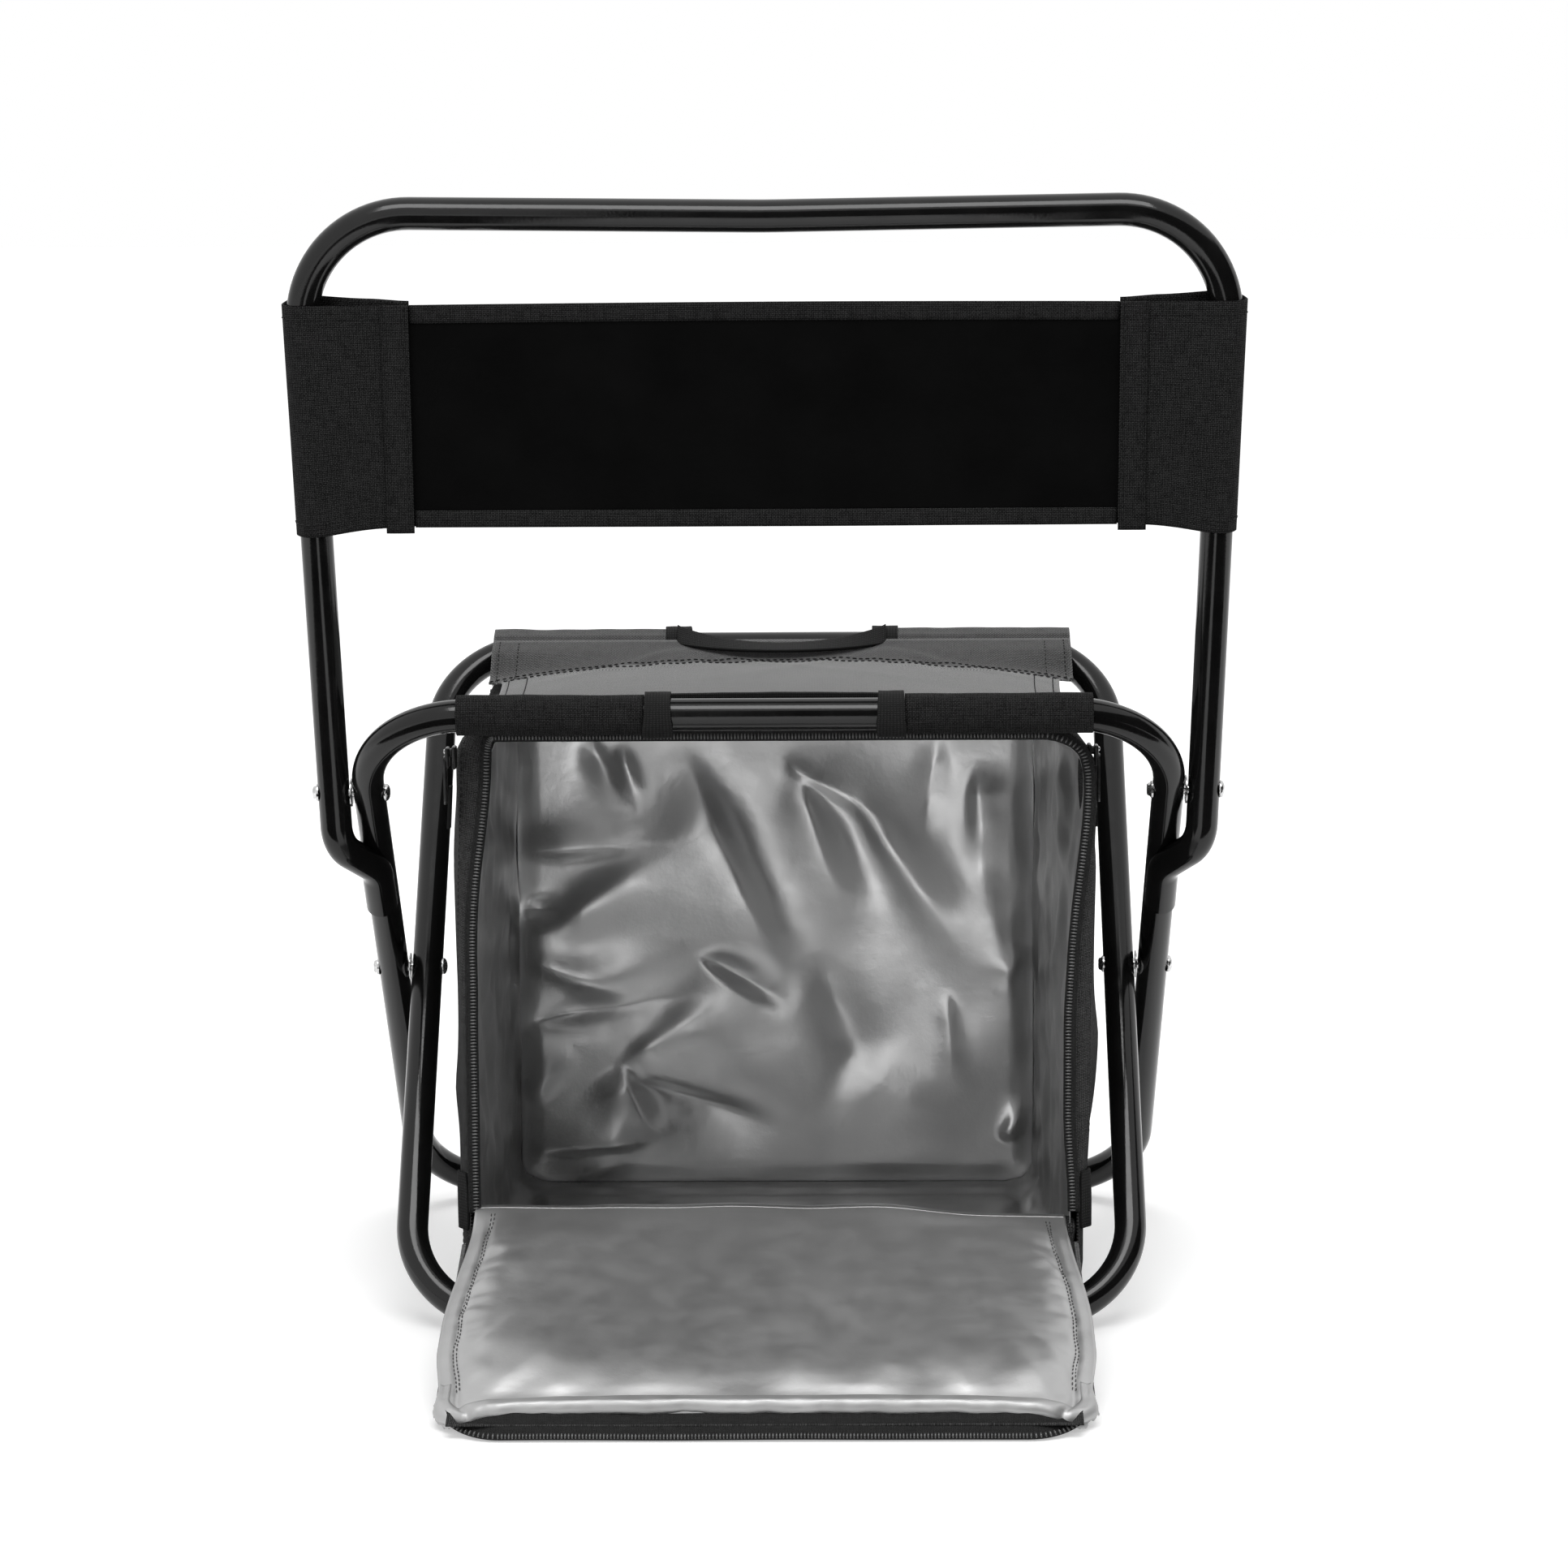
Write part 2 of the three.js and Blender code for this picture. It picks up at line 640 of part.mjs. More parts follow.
// Band along three sides of an outline that is open at its foot, with two round corners at its head
function archShape(halfWidth, foot, head, cornerRadius, width) {
  const x = halfWidth;
  const inner = cornerRadius - width;
  const turn = head - cornerRadius;
  const shape = new THREE.Shape();
  shape.moveTo(x, foot);
  shape.lineTo(x, turn);
  shape.absarc(x - cornerRadius, turn, cornerRadius, 0, Math.PI / 2, false);
  shape.absarc(-x + cornerRadius, turn, cornerRadius, Math.PI / 2, Math.PI, false);
  shape.lineTo(-x, foot);
  shape.lineTo(-x + width, foot);
  shape.absarc(-x + cornerRadius, turn, inner, Math.PI, Math.PI / 2, true);
  shape.absarc(x - cornerRadius, turn, inner, Math.PI / 2, 0, true);
  shape.lineTo(x - width, foot);
  return shape;
}

const tapeFace = -bagHalfDepth - seatGap;
const tapeFoot = lipTop + zipFootRise;
const bagTape = archShape(bagHalfWidth, tapeFoot, bagTop, bagTopRadius, zipTapeWidth);
addNode(group, 'bag_zip_tape', frontSlab(bagTape, tapeFace - zipTapeThickness, tapeFace), blackWebbing());

// Zip slider on a side wall, its pull tab on a bar between two posts, and a fabric tail behind the tab
const sliderZ = barHeight - sliderBelowBar;
const sliderY = -bagHalfDepth + sliderSetback;
const pullBarrelRadius = pullBarRadius + pinGap + pullBarrelWall;
const pullAxisOut = sliderDepth + pullBarrelRadius + seatGap;
const wallFace = bagHalfWidth + seatGap;
const pullAxisX = wallFace + pullAxisOut;

function circle(radius) {
  return polygon(rivetSides, radius, 0);
}

// The pull parts are drawn round the Z axis and laid along Y
function alongY(shape, length) {
  return slab(shape, length).translate(0, 0, -length / 2).rotateX(Math.PI / 2);
}

function zipSlider(side) {
  const body = new THREE.BoxGeometry(sliderDepth, sliderWidth, sliderHeight);
  body.translate(side * (wallFace + sliderDepth / 2), sliderY, sliderZ);
  const postPlace = pullBarrelLength / 2 + seatGap + pullPostWidth / 2;
  const postLength = pullAxisOut + pullBarRadius - sliderDepth / 2;
  const posts = sides.map(([end]) => {
    const post = new THREE.BoxGeometry(postLength, pullPostWidth, 2 * pullBarRadius);
    const x = side * (wallFace + sliderDepth / 2 + postLength / 2);
    return post.translate(x, sliderY + end * postPlace, sliderZ);
  });
  const bar = alongY(new THREE.Shape(circle(pullBarRadius)), 2 * postPlace);
  bar.translate(side * pullAxisX, sliderY, sliderZ);
  return join(body, ...posts, bar);
}

function zipPull(side) {
  const ring = ringShape(circle(pullBarrelRadius), circle(pullBarRadius + pinGap));
  const barrel = alongY(ring, pullBarrelLength).translate(side * pullAxisX, sliderY, sliderZ);
  const outline = new THREE.Shape();
  const top = -pullBarrelRadius + pullBarrelWall / 2;
  const shoulder = -sliderHeight / 2 - seatGap;
  const round = pullWidth / 2;
  outline.moveTo(-pullBarrelLength / 2, top);
  outline.lineTo(-pullBarrelLength / 2, shoulder);
  outline.lineTo(-round, shoulder - pullThickness);
  outline.absarc(0, -pullLength + round, round, Math.PI, 2 * Math.PI, false);
  outline.lineTo(round, shoulder - pullThickness);
  outline.lineTo(pullBarrelLength / 2, shoulder);
  outline.lineTo(pullBarrelLength / 2, top);
  const tab = sideSlab(outline, pullThickness);
  tab.translate(side * pullAxisX - pullThickness / 2, sliderY, sliderZ);
  return join(barrel, tab);
}

function pullTail(side) {
  const outline = new THREE.Shape();
  const round = tailWidth / 2;
  outline.absarc(0, -tailStart - round, round, 0, Math.PI, false);
  outline.absarc(0, -tailStart - tailLength + round, round, Math.PI, 2 * Math.PI, false);
  const tail = sideSlab(outline, tailThickness);
  const inner = pullAxisX - pullThickness / 2 - seatGap - tailThickness / 2;
  return tail.translate(side * inner - tailThickness / 2, sliderY, sliderZ);
}

// Drop-shaped fabric tab sewn over the lower end of the zip, on the side wall
function endTab(side) {
  const outline = new THREE.Shape();
  const round = endTabWidth / 2;
  const top = lipTop + endTabRise;
  outline.moveTo(-round / 2, top);
  outline.lineTo(-round, top - endTabLength + round);
  outline.absarc(0, top - endTabLength + round, round, Math.PI, 2 * Math.PI, false);
  outline.lineTo(round / 2, top);
  const tab = sideSlab(outline, endTabThickness);
  const inner = side * (wallFace + endTabThickness / 2) - endTabThickness / 2;
  return tab.translate(inner, -bagHalfDepth + round, 0);
}

for (const [side, word] of sides) {
  addNode(group, `zip_slider_${word}`, zipSlider(side), blackPaint());
  addNode(group, `zip_pull_${word}`, zipPull(side), blackPaint());
  addNode(group, `zip_pull_tail_${word}`, pullTail(side), blackWebbing());
  addNode(group, `zip_end_tab_${word}`, endTab(side), blackWebbing());
}

// Flap, hung on the lip. In its own frame the hinge is the X axis, +Y runs to the front edge and +Z is
// the outer side.
// Its slope is such that the zip tape under its front edge comes down to the floor, and its lining
// clears the zip tape of the bag when it is closed.
const hingeY = -bagHalfDepth - seatGap;
const flapHalfWidth = bagHalfWidth - flapSideInset;
const flapLiningBottom = zipTapeThickness + seatGap;
const flapFoamBottom = flapLiningBottom + liningThickness + seatGap;
const flapShellBottom = flapFoamBottom + foamThickness + seatGap;
const flapTapeBottom = flapShellBottom + shellThickness + seatGap;
const flapUnderside = flapTapeBottom + zipTapeThickness;
const flapReach = flapLength + flapTapeReach;
const flapDiagonal = Math.hypot(flapReach, flapUnderside);
const flapSlope = Math.asin((lipTop - seatGap) / flapDiagonal) - Math.atan2(flapUnderside, flapReach);
const flapFrame = addFrame(hingeY, lipTop, Math.PI + flapSlope);

// Outline of one layer. Its back edge is set so that its sloping underside stays one gap off the lip.
function flapOutline(inset, underside) {
  const x = flapHalfWidth - inset;
  const back = underside * Math.tan(flapSlope) + inset;
  const radius = flapFrontRadius - inset;
  const front = flapLength - inset;
  const shape = new THREE.Shape();
  shape.moveTo(-x, back);
  shape.lineTo(x, back);
  shape.absarc(x - radius, front - radius, radius, 0, Math.PI / 2, false);
  shape.absarc(-x + radius, front - radius, radius, Math.PI / 2, Math.PI, false);
  return shape;
}

function flapLayer(inset, bottom, thickness) {
  return slab(flapOutline(inset, bottom + thickness), thickness).translate(0, 0, bottom);
}

const flapLining = flapLayer(0, flapLiningBottom, liningThickness);
const flapFoam = flapLayer(flapFoamInset, flapFoamBottom, foamThickness);
const flapShell = flapLayer(0, flapShellBottom, shellThickness);
const flapTapeShape = archShape(
  flapHalfWidth,
  zipTapeWidth,
  flapReach,
  flapFrontRadius,
  zipTapeWidth + flapTapeReach,
);
const flapTape = slab(flapTapeShape, zipTapeThickness).translate(0, 0, flapTapeBottom);

addNode(flapFrame, 'flap_lining', flapLining, silverLining());
addNode(flapFrame, 'flap_foam', flapFoam, whiteFoam());
addNode(flapFrame, 'flap_shell', flapShell, charcoalFabric());
addNode(flapFrame, 'flap_zip_tape', flapTape, blackWebbing());

// The origin is on the floor, under the middle of the whole stool
const middle = new THREE.Box3().setFromObject(group, true).getCenter(point(0, 0, 0));
group.position.y = -middle.y;

export default group;
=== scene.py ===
from math import ceil, cos, exp, hypot, pi, radians, sin, tan

import bmesh
import bpy
from mathutils import Matrix, Vector, noise


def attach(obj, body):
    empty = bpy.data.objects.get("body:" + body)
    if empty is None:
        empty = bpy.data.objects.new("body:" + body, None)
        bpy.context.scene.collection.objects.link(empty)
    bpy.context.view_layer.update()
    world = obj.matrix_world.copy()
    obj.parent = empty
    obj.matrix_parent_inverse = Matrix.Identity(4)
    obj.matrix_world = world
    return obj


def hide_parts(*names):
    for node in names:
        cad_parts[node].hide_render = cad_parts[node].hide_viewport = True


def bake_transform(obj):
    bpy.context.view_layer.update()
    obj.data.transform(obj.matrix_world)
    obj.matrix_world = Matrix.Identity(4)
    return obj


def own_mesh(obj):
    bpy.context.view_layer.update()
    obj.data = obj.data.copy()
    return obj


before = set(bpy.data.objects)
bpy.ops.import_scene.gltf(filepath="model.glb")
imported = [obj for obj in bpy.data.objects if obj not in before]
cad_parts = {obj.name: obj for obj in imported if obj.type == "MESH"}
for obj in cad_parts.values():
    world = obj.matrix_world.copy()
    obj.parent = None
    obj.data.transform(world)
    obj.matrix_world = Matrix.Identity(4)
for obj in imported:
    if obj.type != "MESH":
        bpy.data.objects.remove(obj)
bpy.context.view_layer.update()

scene = bpy.context.scene
scene.view_settings.view_transform = "Standard"
toMetres = 0.001
bothSides = (("left", -1), ("right", 1))
print("frame loaded:", len(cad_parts), "solids")


# small tools
batchSize = 900  # stitches and teeth join their piece in batches of so many points


def ease(low, high, value):
    t = min(1.0, max(0.0, (value - low) / (high - low)))
    return t * t * (3 - 2 * t)


def ripple(x, y, size, seed=0.0):
    return noise.noise(Vector((x / size, y / size, seed)))


def finishPiece(name, bm, finishes, body, sharp=None):
    bmesh.ops.scale(bm, vec=(toMetres,) * 3, verts=bm.verts)
    for face in bm.faces:
        face.smooth = True
    mesh = bpy.data.meshes.new(name)
    bm.to_mesh(mesh)
    bm.free()
    for finish in finishes:
        mesh.materials.append(finish)
    if sharp:
        mesh.set_sharp_from_angle(angle=radians(sharp))
    piece = bpy.data.objects.new(name, mesh)
    scene.collection.objects.link(piece)
    if body:
        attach(piece, body)
    return piece


def thicken(piece, thickness, offset=0.0):
    wall = piece.modifiers.new("thickness", "SOLIDIFY")
    wall.thickness = thickness * toMetres
    wall.offset = offset
    wall.use_even_offset = False
    return piece


# a tube that runs through its corners, bent to a radius at each inner one
def bendTube(corners, bends, radius, sides=40, step=4, capped=False):
    bm = bmesh.new()
    aim = (corners[1] - corners[0]).normalized()
    turn = aim.to_track_quat("Z", "Y").to_matrix().to_4x4()
    bmesh.ops.create_circle(bm, cap_ends=False, segments=sides, radius=radius,
                            matrix=Matrix.Translation(corners[0]) @ turn)
    startRing = list(bm.edges)
    ring = list(bm.edges)
    here = corners[0].copy()

    def push(edges, move):
        made = bmesh.ops.extrude_edge_only(bm, edges=edges)["geom"]
        points = {g for g in made if isinstance(g, bmesh.types.BMVert)}
        bmesh.ops.translate(bm, verts=list(points), vec=move)
        rim = [g for g in made if isinstance(g, bmesh.types.BMEdge)]
        return [edge for edge in rim if edge.verts[0] in points and edge.verts[1] in points]

    for i, bend in zip(range(1, len(corners) - 1), bends):
        before = (corners[i] - corners[i - 1]).normalized()
        after = (corners[i + 1] - corners[i]).normalized()
        angle = before.angle(after)
        leg = bend * tan(angle / 2)
        bendStart = corners[i] - before * leg
        ring = push(ring, bendStart - here)
        axis = before.cross(after).normalized()
        inward = (after - before * before.dot(after)).normalized()
        points = list({v for e in ring for v in e.verts})
        spun = bmesh.ops.spin(bm, geom=points + ring, cent=bendStart + inward * bend, axis=axis,
                              dvec=(0, 0, 0), angle=angle, steps=max(2, ceil(angle / radians(step))),
                              use_duplicate=False)["geom_last"]
        ring = [g for g in spun if isinstance(g, bmesh.types.BMEdge)]
        here = corners[i] + after * leg
    ring = push(ring, corners[-1] - here)
    if capped:
        for rim in (startRing, ring):
            cap = bmesh.ops.edgeloop_fill(bm, edges=rim)["faces"]
            bmesh.ops.inset_region(bm, faces=cap, thickness=radius * 0.3, use_even_offset=True)
    bmesh.ops.recalc_face_normals(bm, faces=bm.faces)
    return bm


# a turned part: rim points as (radius, height) spun round an axis
def turnedPart(rim, centre, axis, sides):
    bm = bmesh.new()
    points = [bm.verts.new((r, 0, h)) for r, h in rim]
    edges = [bm.edges.new(pair) for pair in zip(points, points[1:])]
    bmesh.ops.spin(bm, geom=points + edges, cent=(0, 0, 0), axis=(0, 0, 1), dvec=(0, 0, 0),
                   angle=2 * pi, steps=sides, use_merge=True, use_duplicate=False)
    bmesh.ops.remove_doubles(bm, verts=bm.verts, dist=1e-4)
    turn = Vector(axis).to_track_quat("Z", "Y").to_matrix().to_4x4()
    bmesh.ops.transform(bm, matrix=Matrix.Translation(centre) @ turn, verts=bm.verts)
    bmesh.ops.recalc_face_normals(bm, faces=bm.faces)
    return bm


def joinInto(bm, other):
    mesh = bpy.data.meshes.new("joining")
    other.to_mesh(mesh)
    other.free()
    bm.from_mesh(mesh)
    bpy.data.meshes.remove(mesh)


# a sheet of cloth: place(u, v) gives a point for u, v from 0 to 1, size is its flat width and length
def clothGrid(columns, rows, size, place, closed=False, flip=False):
    bm = bmesh.new()
    bmesh.ops.create_grid(bm, x_segments=columns, y_segments=rows, size=0.5)
    flat = bm.loops.layers.uv.new("cloth")
    for face in bm.faces:
        for loop in face.loops:
            loop[flat].uv = ((loop.vert.co.x + 0.5) * size[0], (loop.vert.co.y + 0.5) * size[1])
    for v in bm.verts:
        v.co = place(v.co.x + 0.5, v.co.y + 0.5)
    if closed:
        bmesh.ops.remove_doubles(bm, verts=bm.verts, dist=0.05)
    if flip:
        bmesh.ops.reverse_faces(bm, faces=bm.faces)
    return bm


def surfaceSpot(place, u, v, small=0.002):
    spot = Vector(place(u, v))
    across = Vector(place(min(1, u + small), v)) - Vector(place(max(0, u - small), v))
    along = Vector(place(u, min(1, v + small))) - Vector(place(u, max(0, v - small)))
    face = across.cross(along)
    if face.length < 1e-9:
        face = Vector((0, 0, 1))
    return spot, face.normalized()


# a small bead stretched along its own three axes: one stitch or one tooth
def addBead(bm, spot, axes, size):
    turn = Matrix(axes).transposed().to_4x4()
    bmesh.ops.create_uvsphere(bm, u_segments=6, v_segments=4, radius=1,
                              matrix=Matrix.Translation(spot) @ turn @ Matrix.Diagonal((*size, 1)))


# stitches sewn along a path of (u, v) points on a sheet
def sewRow(bm, place, path, pitch=3.2, length=2.5, thick=0.34, lift=0.55, side=1, drift=0.0):
    spots, steps = [], 60
    for (u0, v0), (u1, v1) in zip(path, path[1:]):
        for k in range(steps):
            t = k / steps
            spots.append((u0 + (u1 - u0) * t, v0 + (v1 - v0) * t))
    spots.append(path[-1])
    points = [Vector(place(u, v)) for u, v in spots]
    gone, due, row = 0.0, pitch / 2, bmesh.new()
    for k in range(len(points) - 1):
        step = (points[k + 1] - points[k]).length
        while step > 0 and gone + step >= due:
            t = (due - gone) / step
            u = spots[k][0] + (spots[k + 1][0] - spots[k][0]) * t
            v = spots[k][1] + (spots[k + 1][1] - spots[k][1]) * t
            spot, face = surfaceSpot(place, u, v)
            face = face * side
            run = (points[k + 1] - points[k]).normalized()
            over = face.cross(run).normalized()
            wobble = drift * noise.noise(Vector((due * 0.05, u * 7, v * 3)))
            addBead(row, spot + face * lift + over * wobble, (run, over, face), (length / 2, thick, thick))
            due += pitch
            if len(row.verts) > batchSize:
                joinInto(bm, row)
                row = bmesh.new()
        gone += step
    joinInto(bm, row)


# small teeth along a zip: toothSpot(t) gives a place and the way out of the tape
def zipTeeth(toothSpot, count, size):
    bm, part = bmesh.new(), bmesh.new()
    for k in range(count):
        t = (k + 0.5) / count
        spot, out = toothSpot(t)
        ahead = (toothSpot(min(1, t + 0.002))[0] - spot).normalized()
        out = (out - ahead * out.dot(ahead)).normalized()
        addBead(part, spot, (out, ahead, out.cross(ahead)), size)
        if len(part.verts) > batchSize:
            joinInto(bm, part)
            part = bmesh.new()
    joinInto(bm, part)
    return bm


# finishes

def newFinish(name, roughness, metallic=0.0, specular=0.5):
    finish = bpy.data.materials.new(name)
    finish.use_nodes = True
    shader = finish.node_tree.nodes["Principled BSDF"]
    shader.inputs["Roughness"].default_value = roughness
    shader.inputs["Metallic"].default_value = metallic
    shader.inputs["Specular IOR Level"].default_value = specular
    return finish, finish.node_tree, shader


def addNode(tree, kind, **settings):
    node = tree.nodes.new(kind)
    for key, value in settings.items():
        if key in node.inputs:
            node.inputs[key].default_value = value
        else:
            setattr(node, key, value)
    return node


def blendValues(tree, factor, first, second):
    mix = addNode(tree, "ShaderNodeMix", data_type="FLOAT")
    tree.links.new(factor, mix.inputs[0])
    for slot, value in ((2, first), (3, second)):
        if isinstance(value, (int, float)):
            mix.inputs[slot].default_value = value
        else:
            tree.links.new(value, mix.inputs[slot])
    return mix.outputs[0]


def ramp(tree, factor, stops):
    node = addNode(tree, "ShaderNodeValToRGB")
    parts = node.color_ramp.elements
    while len(parts) < len(stops):
        parts.new(0.5)
    for part, (at, colour) in zip(parts, stops):
        part.position = at
        part.color = (*colour, 1) if hasattr(colour, "__len__") else (colour, colour, colour, 1)
    tree.links.new(factor, node.inputs[0])
    return node.outputs[0]


def objectSpots(tree):
    return addNode(tree, "ShaderNodeTexCoord").outputs["Object"]


def clothSpots(tree):
    return addNode(tree, "ShaderNodeUVMap", uv_map="cloth").outputs[0]


def noiseField(tree, spots, scale, detail=3.0, rough=0.5):
    field = addNode(tree, "ShaderNodeTexNoise", Scale=scale, Detail=detail, Roughness=rough)
    tree.links.new(spots, field.inputs["Vector"])
    return field.outputs["Fac"]


def waveField(tree, spots, period, direction):
    oneBand = 0.31416  # the scale at which a band is one unit wide
    field = addNode(tree, "ShaderNodeTexWave", wave_type="BANDS", bands_direction=direction,
                    Scale=oneBand / period)
    tree.links.new(spots, field.inputs["Vector"])
    return field.outputs["Fac"]


def combine(tree, operation, first, second):
    node = addNode(tree, "ShaderNodeMath", operation=operation)
    tree.links.new(first, node.inputs[0])
    tree.links.new(second, node.inputs[1])
    return node.outputs[0]


# a colour or a value that runs from stop to stop along a field
def feed(tree, shader, socket, field, *stops):
    tree.links.new(ramp(tree, field, stops), shader.inputs[socket])


def raiseBump(tree, shader, height, strength, distance, under=None):
    bump = addNode(tree, "ShaderNodeBump", Strength=strength, Distance=distance)
    tree.links.new(height, bump.inputs["Height"])
    if under is not None:
        tree.links.new(under, bump.inputs["Normal"])
    tree.links.new(bump.outputs[0], shader.inputs["Normal"])
    return bump.outputs[0]


def paintedTube():
    finish, tree, shader = newFinish("glossBlackTube", 0.15, specular=0.38)
    spots = objectSpots(tree)
    feed(tree, shader, "Base Color", noiseField(tree, spots, 38, 4), (0.3, 0.0035), (0.7, 0.006))
    feed(tree, shader, "Roughness", noiseField(tree, spots, 90, 5), (0.35, 0.1), (0.7, 0.17))
    raiseBump(tree, shader, noiseField(tree, spots, 620, 2), 0.06, 0.0003)
    return finish


def rivetSteel():
    finish, tree, shader = newFinish("rivetSteel", 0.24, metallic=1.0)
    spots = objectSpots(tree)
    feed(tree, shader, "Base Color", noiseField(tree, spots, 500, 3), (0.3, 0.5), (0.7, 0.74))
    feed(tree, shader, "Roughness", noiseField(tree, spots, 900, 4), (0.3, 0.16), (0.7, 0.32))
    return finish


# plain weave: warp and weft threads that pass over each other in turn
def wovenCloth(name, low, high, cell=0.72, roughness=0.82, depth=0.5, specular=0.25, sheen=0.0):
    finish, tree, shader = newFinish(name, roughness, specular=specular)
    spots = clothSpots(tree)
    warp = waveField(tree, spots, cell, "X")
    weft = waveField(tree, spots, cell, "Y")
    checks = addNode(tree, "ShaderNodeTexChecker", Scale=1 / cell)
    tree.links.new(spots, checks.inputs["Vector"])
    threads = blendValues(tree, checks.outputs["Fac"], warp, weft)
    patchy = noiseField(tree, spots, 0.035, 5, 0.6)
    grain = noiseField(tree, spots, 1.3, 2)
    slubs = []
    for stretch in ((0.16, 1.1, 1), (1.1, 0.16, 1)):  # thick and thin yarns along both ways of the cloth
        along = addNode(tree, "ShaderNodeMapping", Scale=stretch)
        tree.links.new(spots, along.inputs["Vector"])
        slubs.append(noiseField(tree, along.outputs[0], 0.9, 2))
    yarn = blendValues(tree, checks.outputs["Fac"], slubs[0], slubs[1])
    # the base colour follows the thread height: painted highlight on the thread crowns and painted shade in
    # the hollows between threads, times random patches and thick and thin yarns
    tone = combine(tree, "MULTIPLY", threads, ramp(tree, patchy, [(0.3, 0.86), (0.7, 1.0)]))
    threadShadeAndSlubs = combine(tree, "MULTIPLY", tone, ramp(tree, yarn, [(0.34, 0.45), (0.68, 1.25)]))
    feed(tree, shader, "Base Color", threadShadeAndSlubs, (0.12, low), (0.85, high))
    fibre = raiseBump(tree, shader, grain, 0.25, 0.0002)
    raiseBump(tree, shader, threads, depth, 0.0004, fibre)
    if sheen:
        shader.inputs["Sheen Weight"].default_value = sheen
        shader.inputs["Sheen Roughness"].default_value = 0.45
    return finish


# the smooth coated back of the same cloth
def coatedCloth():
    finish, tree, shader = newFinish("coatedClothBack", 0.66, specular=0.04)
    spots = clothSpots(tree)
    feed(tree, shader, "Base Color", noiseField(tree, spots, 0.02, 6, 0.62), (0.35, 0.0016), (0.75, 0.0034))
    feed(tree, shader, "Roughness", noiseField(tree, spots, 0.08, 4), (0.3, 0.56), (0.7, 0.7))
    raiseBump(tree, shader, noiseField(tree, spots, 0.9, 3), 0.14, 0.0002)
    return finish


def ribbedWebbing():
    finish, tree, shader = newFinish("blackWebbing", 0.8, specular=0.25)
    spots = clothSpots(tree)
    ribs = waveField(tree, spots, 1.5, "Y")
    cords = waveField(tree, spots, 1.05, "X")
    # the base colour follows the ribs: painted highlight on the rib tops and painted shade in the grooves
    both = blendValues(tree, cords, 0.0, ribs)
    feed(tree, shader, "Base Color", both, (0.0, 0.004), (0.9, 0.02))
    raiseBump(tree, shader, both, 0.7, 0.0006)
    return finish


def silverFilm(name="silverFilm", low=0.3, high=0.4, rough=(0.3, 0.42)):
    finish, tree, shader = newFinish(name, 0.36, metallic=0.82, specular=0.4)
    spots = objectSpots(tree)
    feed(tree, shader, "Base Color", noiseField(tree, spots, 14, 4), (0.3, low), (0.7, high))
    feed(tree, shader, "Roughness", noiseField(tree, spots, 60, 4), (0.3, rough[0]), (0.7, rough[1]))
    fine = raiseBump(tree, shader, noiseField(tree, spots, 900, 2), 0.05, 0.0002)
    raiseBump(tree, shader, noiseField(tree, spots, 150, 4, 0.6), 0.14, 0.0012, fine)
    return finish


def sewingThread(name, low, high):
    finish, tree, shader = newFinish(name, 0.7, specular=0.3)
    spots = objectSpots(tree)
    feed(tree, shader, "Base Color", noiseField(tree, spots, 700, 2), (0.3, low), (0.7, high))
    raiseBump(tree, shader, noiseField(tree, spots, 2500, 2), 0.3, 0.0002)
    return finish


def zipCoilPlastic():
    finish, tree, shader = newFinish("zipCoilPlastic", 0.22, specular=0.6)
    spots = objectSpots(tree)
    feed(tree, shader, "Base Color", noiseField(tree, spots, 300, 2), (0.3, 0.05), (0.7, 0.11))
    feed(tree, shader, "Roughness", noiseField(tree, spots, 800, 2), (0.3, 0.14), (0.7, 0.24))
    return finish


def zipMetal():
    finish, tree, shader = newFinish("blackZipMetal", 0.3, metallic=0.55, specular=0.5)
    spots = objectSpots(tree)
    feed(tree, shader, "Base Color", noiseField(tree, spots, 240, 4), (0.3, 0.018), (0.75, 0.05))
    feed(tree, shader, "Roughness", noiseField(tree, spots, 400, 4), (0.3, 0.24), (0.7, 0.42))
    raiseBump(tree, shader, noiseField(tree, spots, 1200, 2), 0.1, 0.0002)
    return finish


tubePaint = paintedTube()
steel = rivetSteel()
# one charcoal cloth in lit and shaded copies: the seat's copy is painted lighter for the top light (painted
# light), the far sleeves' copy darker for their slope (painted shade), and the copy on the near sleeves and
# the upright backrest cloth darkest (painted shade)
charcoalWeavePaintedShade = wovenCloth("charcoalWeavePaintedShade", 0.0012, 0.042, 0.88, depth=0.9, specular=0.1)
shellWeave = wovenCloth("shellWeave", 0.006, 0.1, 0.88, depth=0.9, specular=0.12)
seatWeavePaintedLight = wovenCloth("seatWeavePaintedLight", 0.025, 0.155, 0.88, specular=0.4, sheen=0.8)
sleeveWeavePaintedHalfShade = wovenCloth("sleeveWeavePaintedHalfShade", 0.006, 0.085, 0.88, depth=0.7, sheen=0.35)
zipTapeWeave = wovenCloth("zipTapeWeave", 0.006, 0.03, cell=0.6)
coatedBack = coatedCloth()
webbing = ribbedWebbing()
# one silver film in copies of different brightness: the copy on the back wall and on the lip's top is
# painted lighter (painted light), the side walls' and hinge strip's copy darker (painted shade), and the
# flap and hem copies lie between
lining = silverFilm(low=0.74, high=0.88)
wallFilmPaintedShade = silverFilm("wallFilmPaintedShade", 0.28, 0.36)
flapFilm = silverFilm("flapFilm", 0.42, 0.53, (0.36, 0.48))
hemFilm = silverFilm("hemFilm", 0.4, 0.52, (0.46, 0.6))
darkThread = sewingThread("darkThread", 0.004, 0.012)
hemThread = sewingThread("hemThread", 0.03, 0.06)
filmThread = sewingThread("filmThread", 0.05, 0.1)
coilPlastic = zipCoilPlastic()
gunmetal = zipMetal()
print("finishes made")


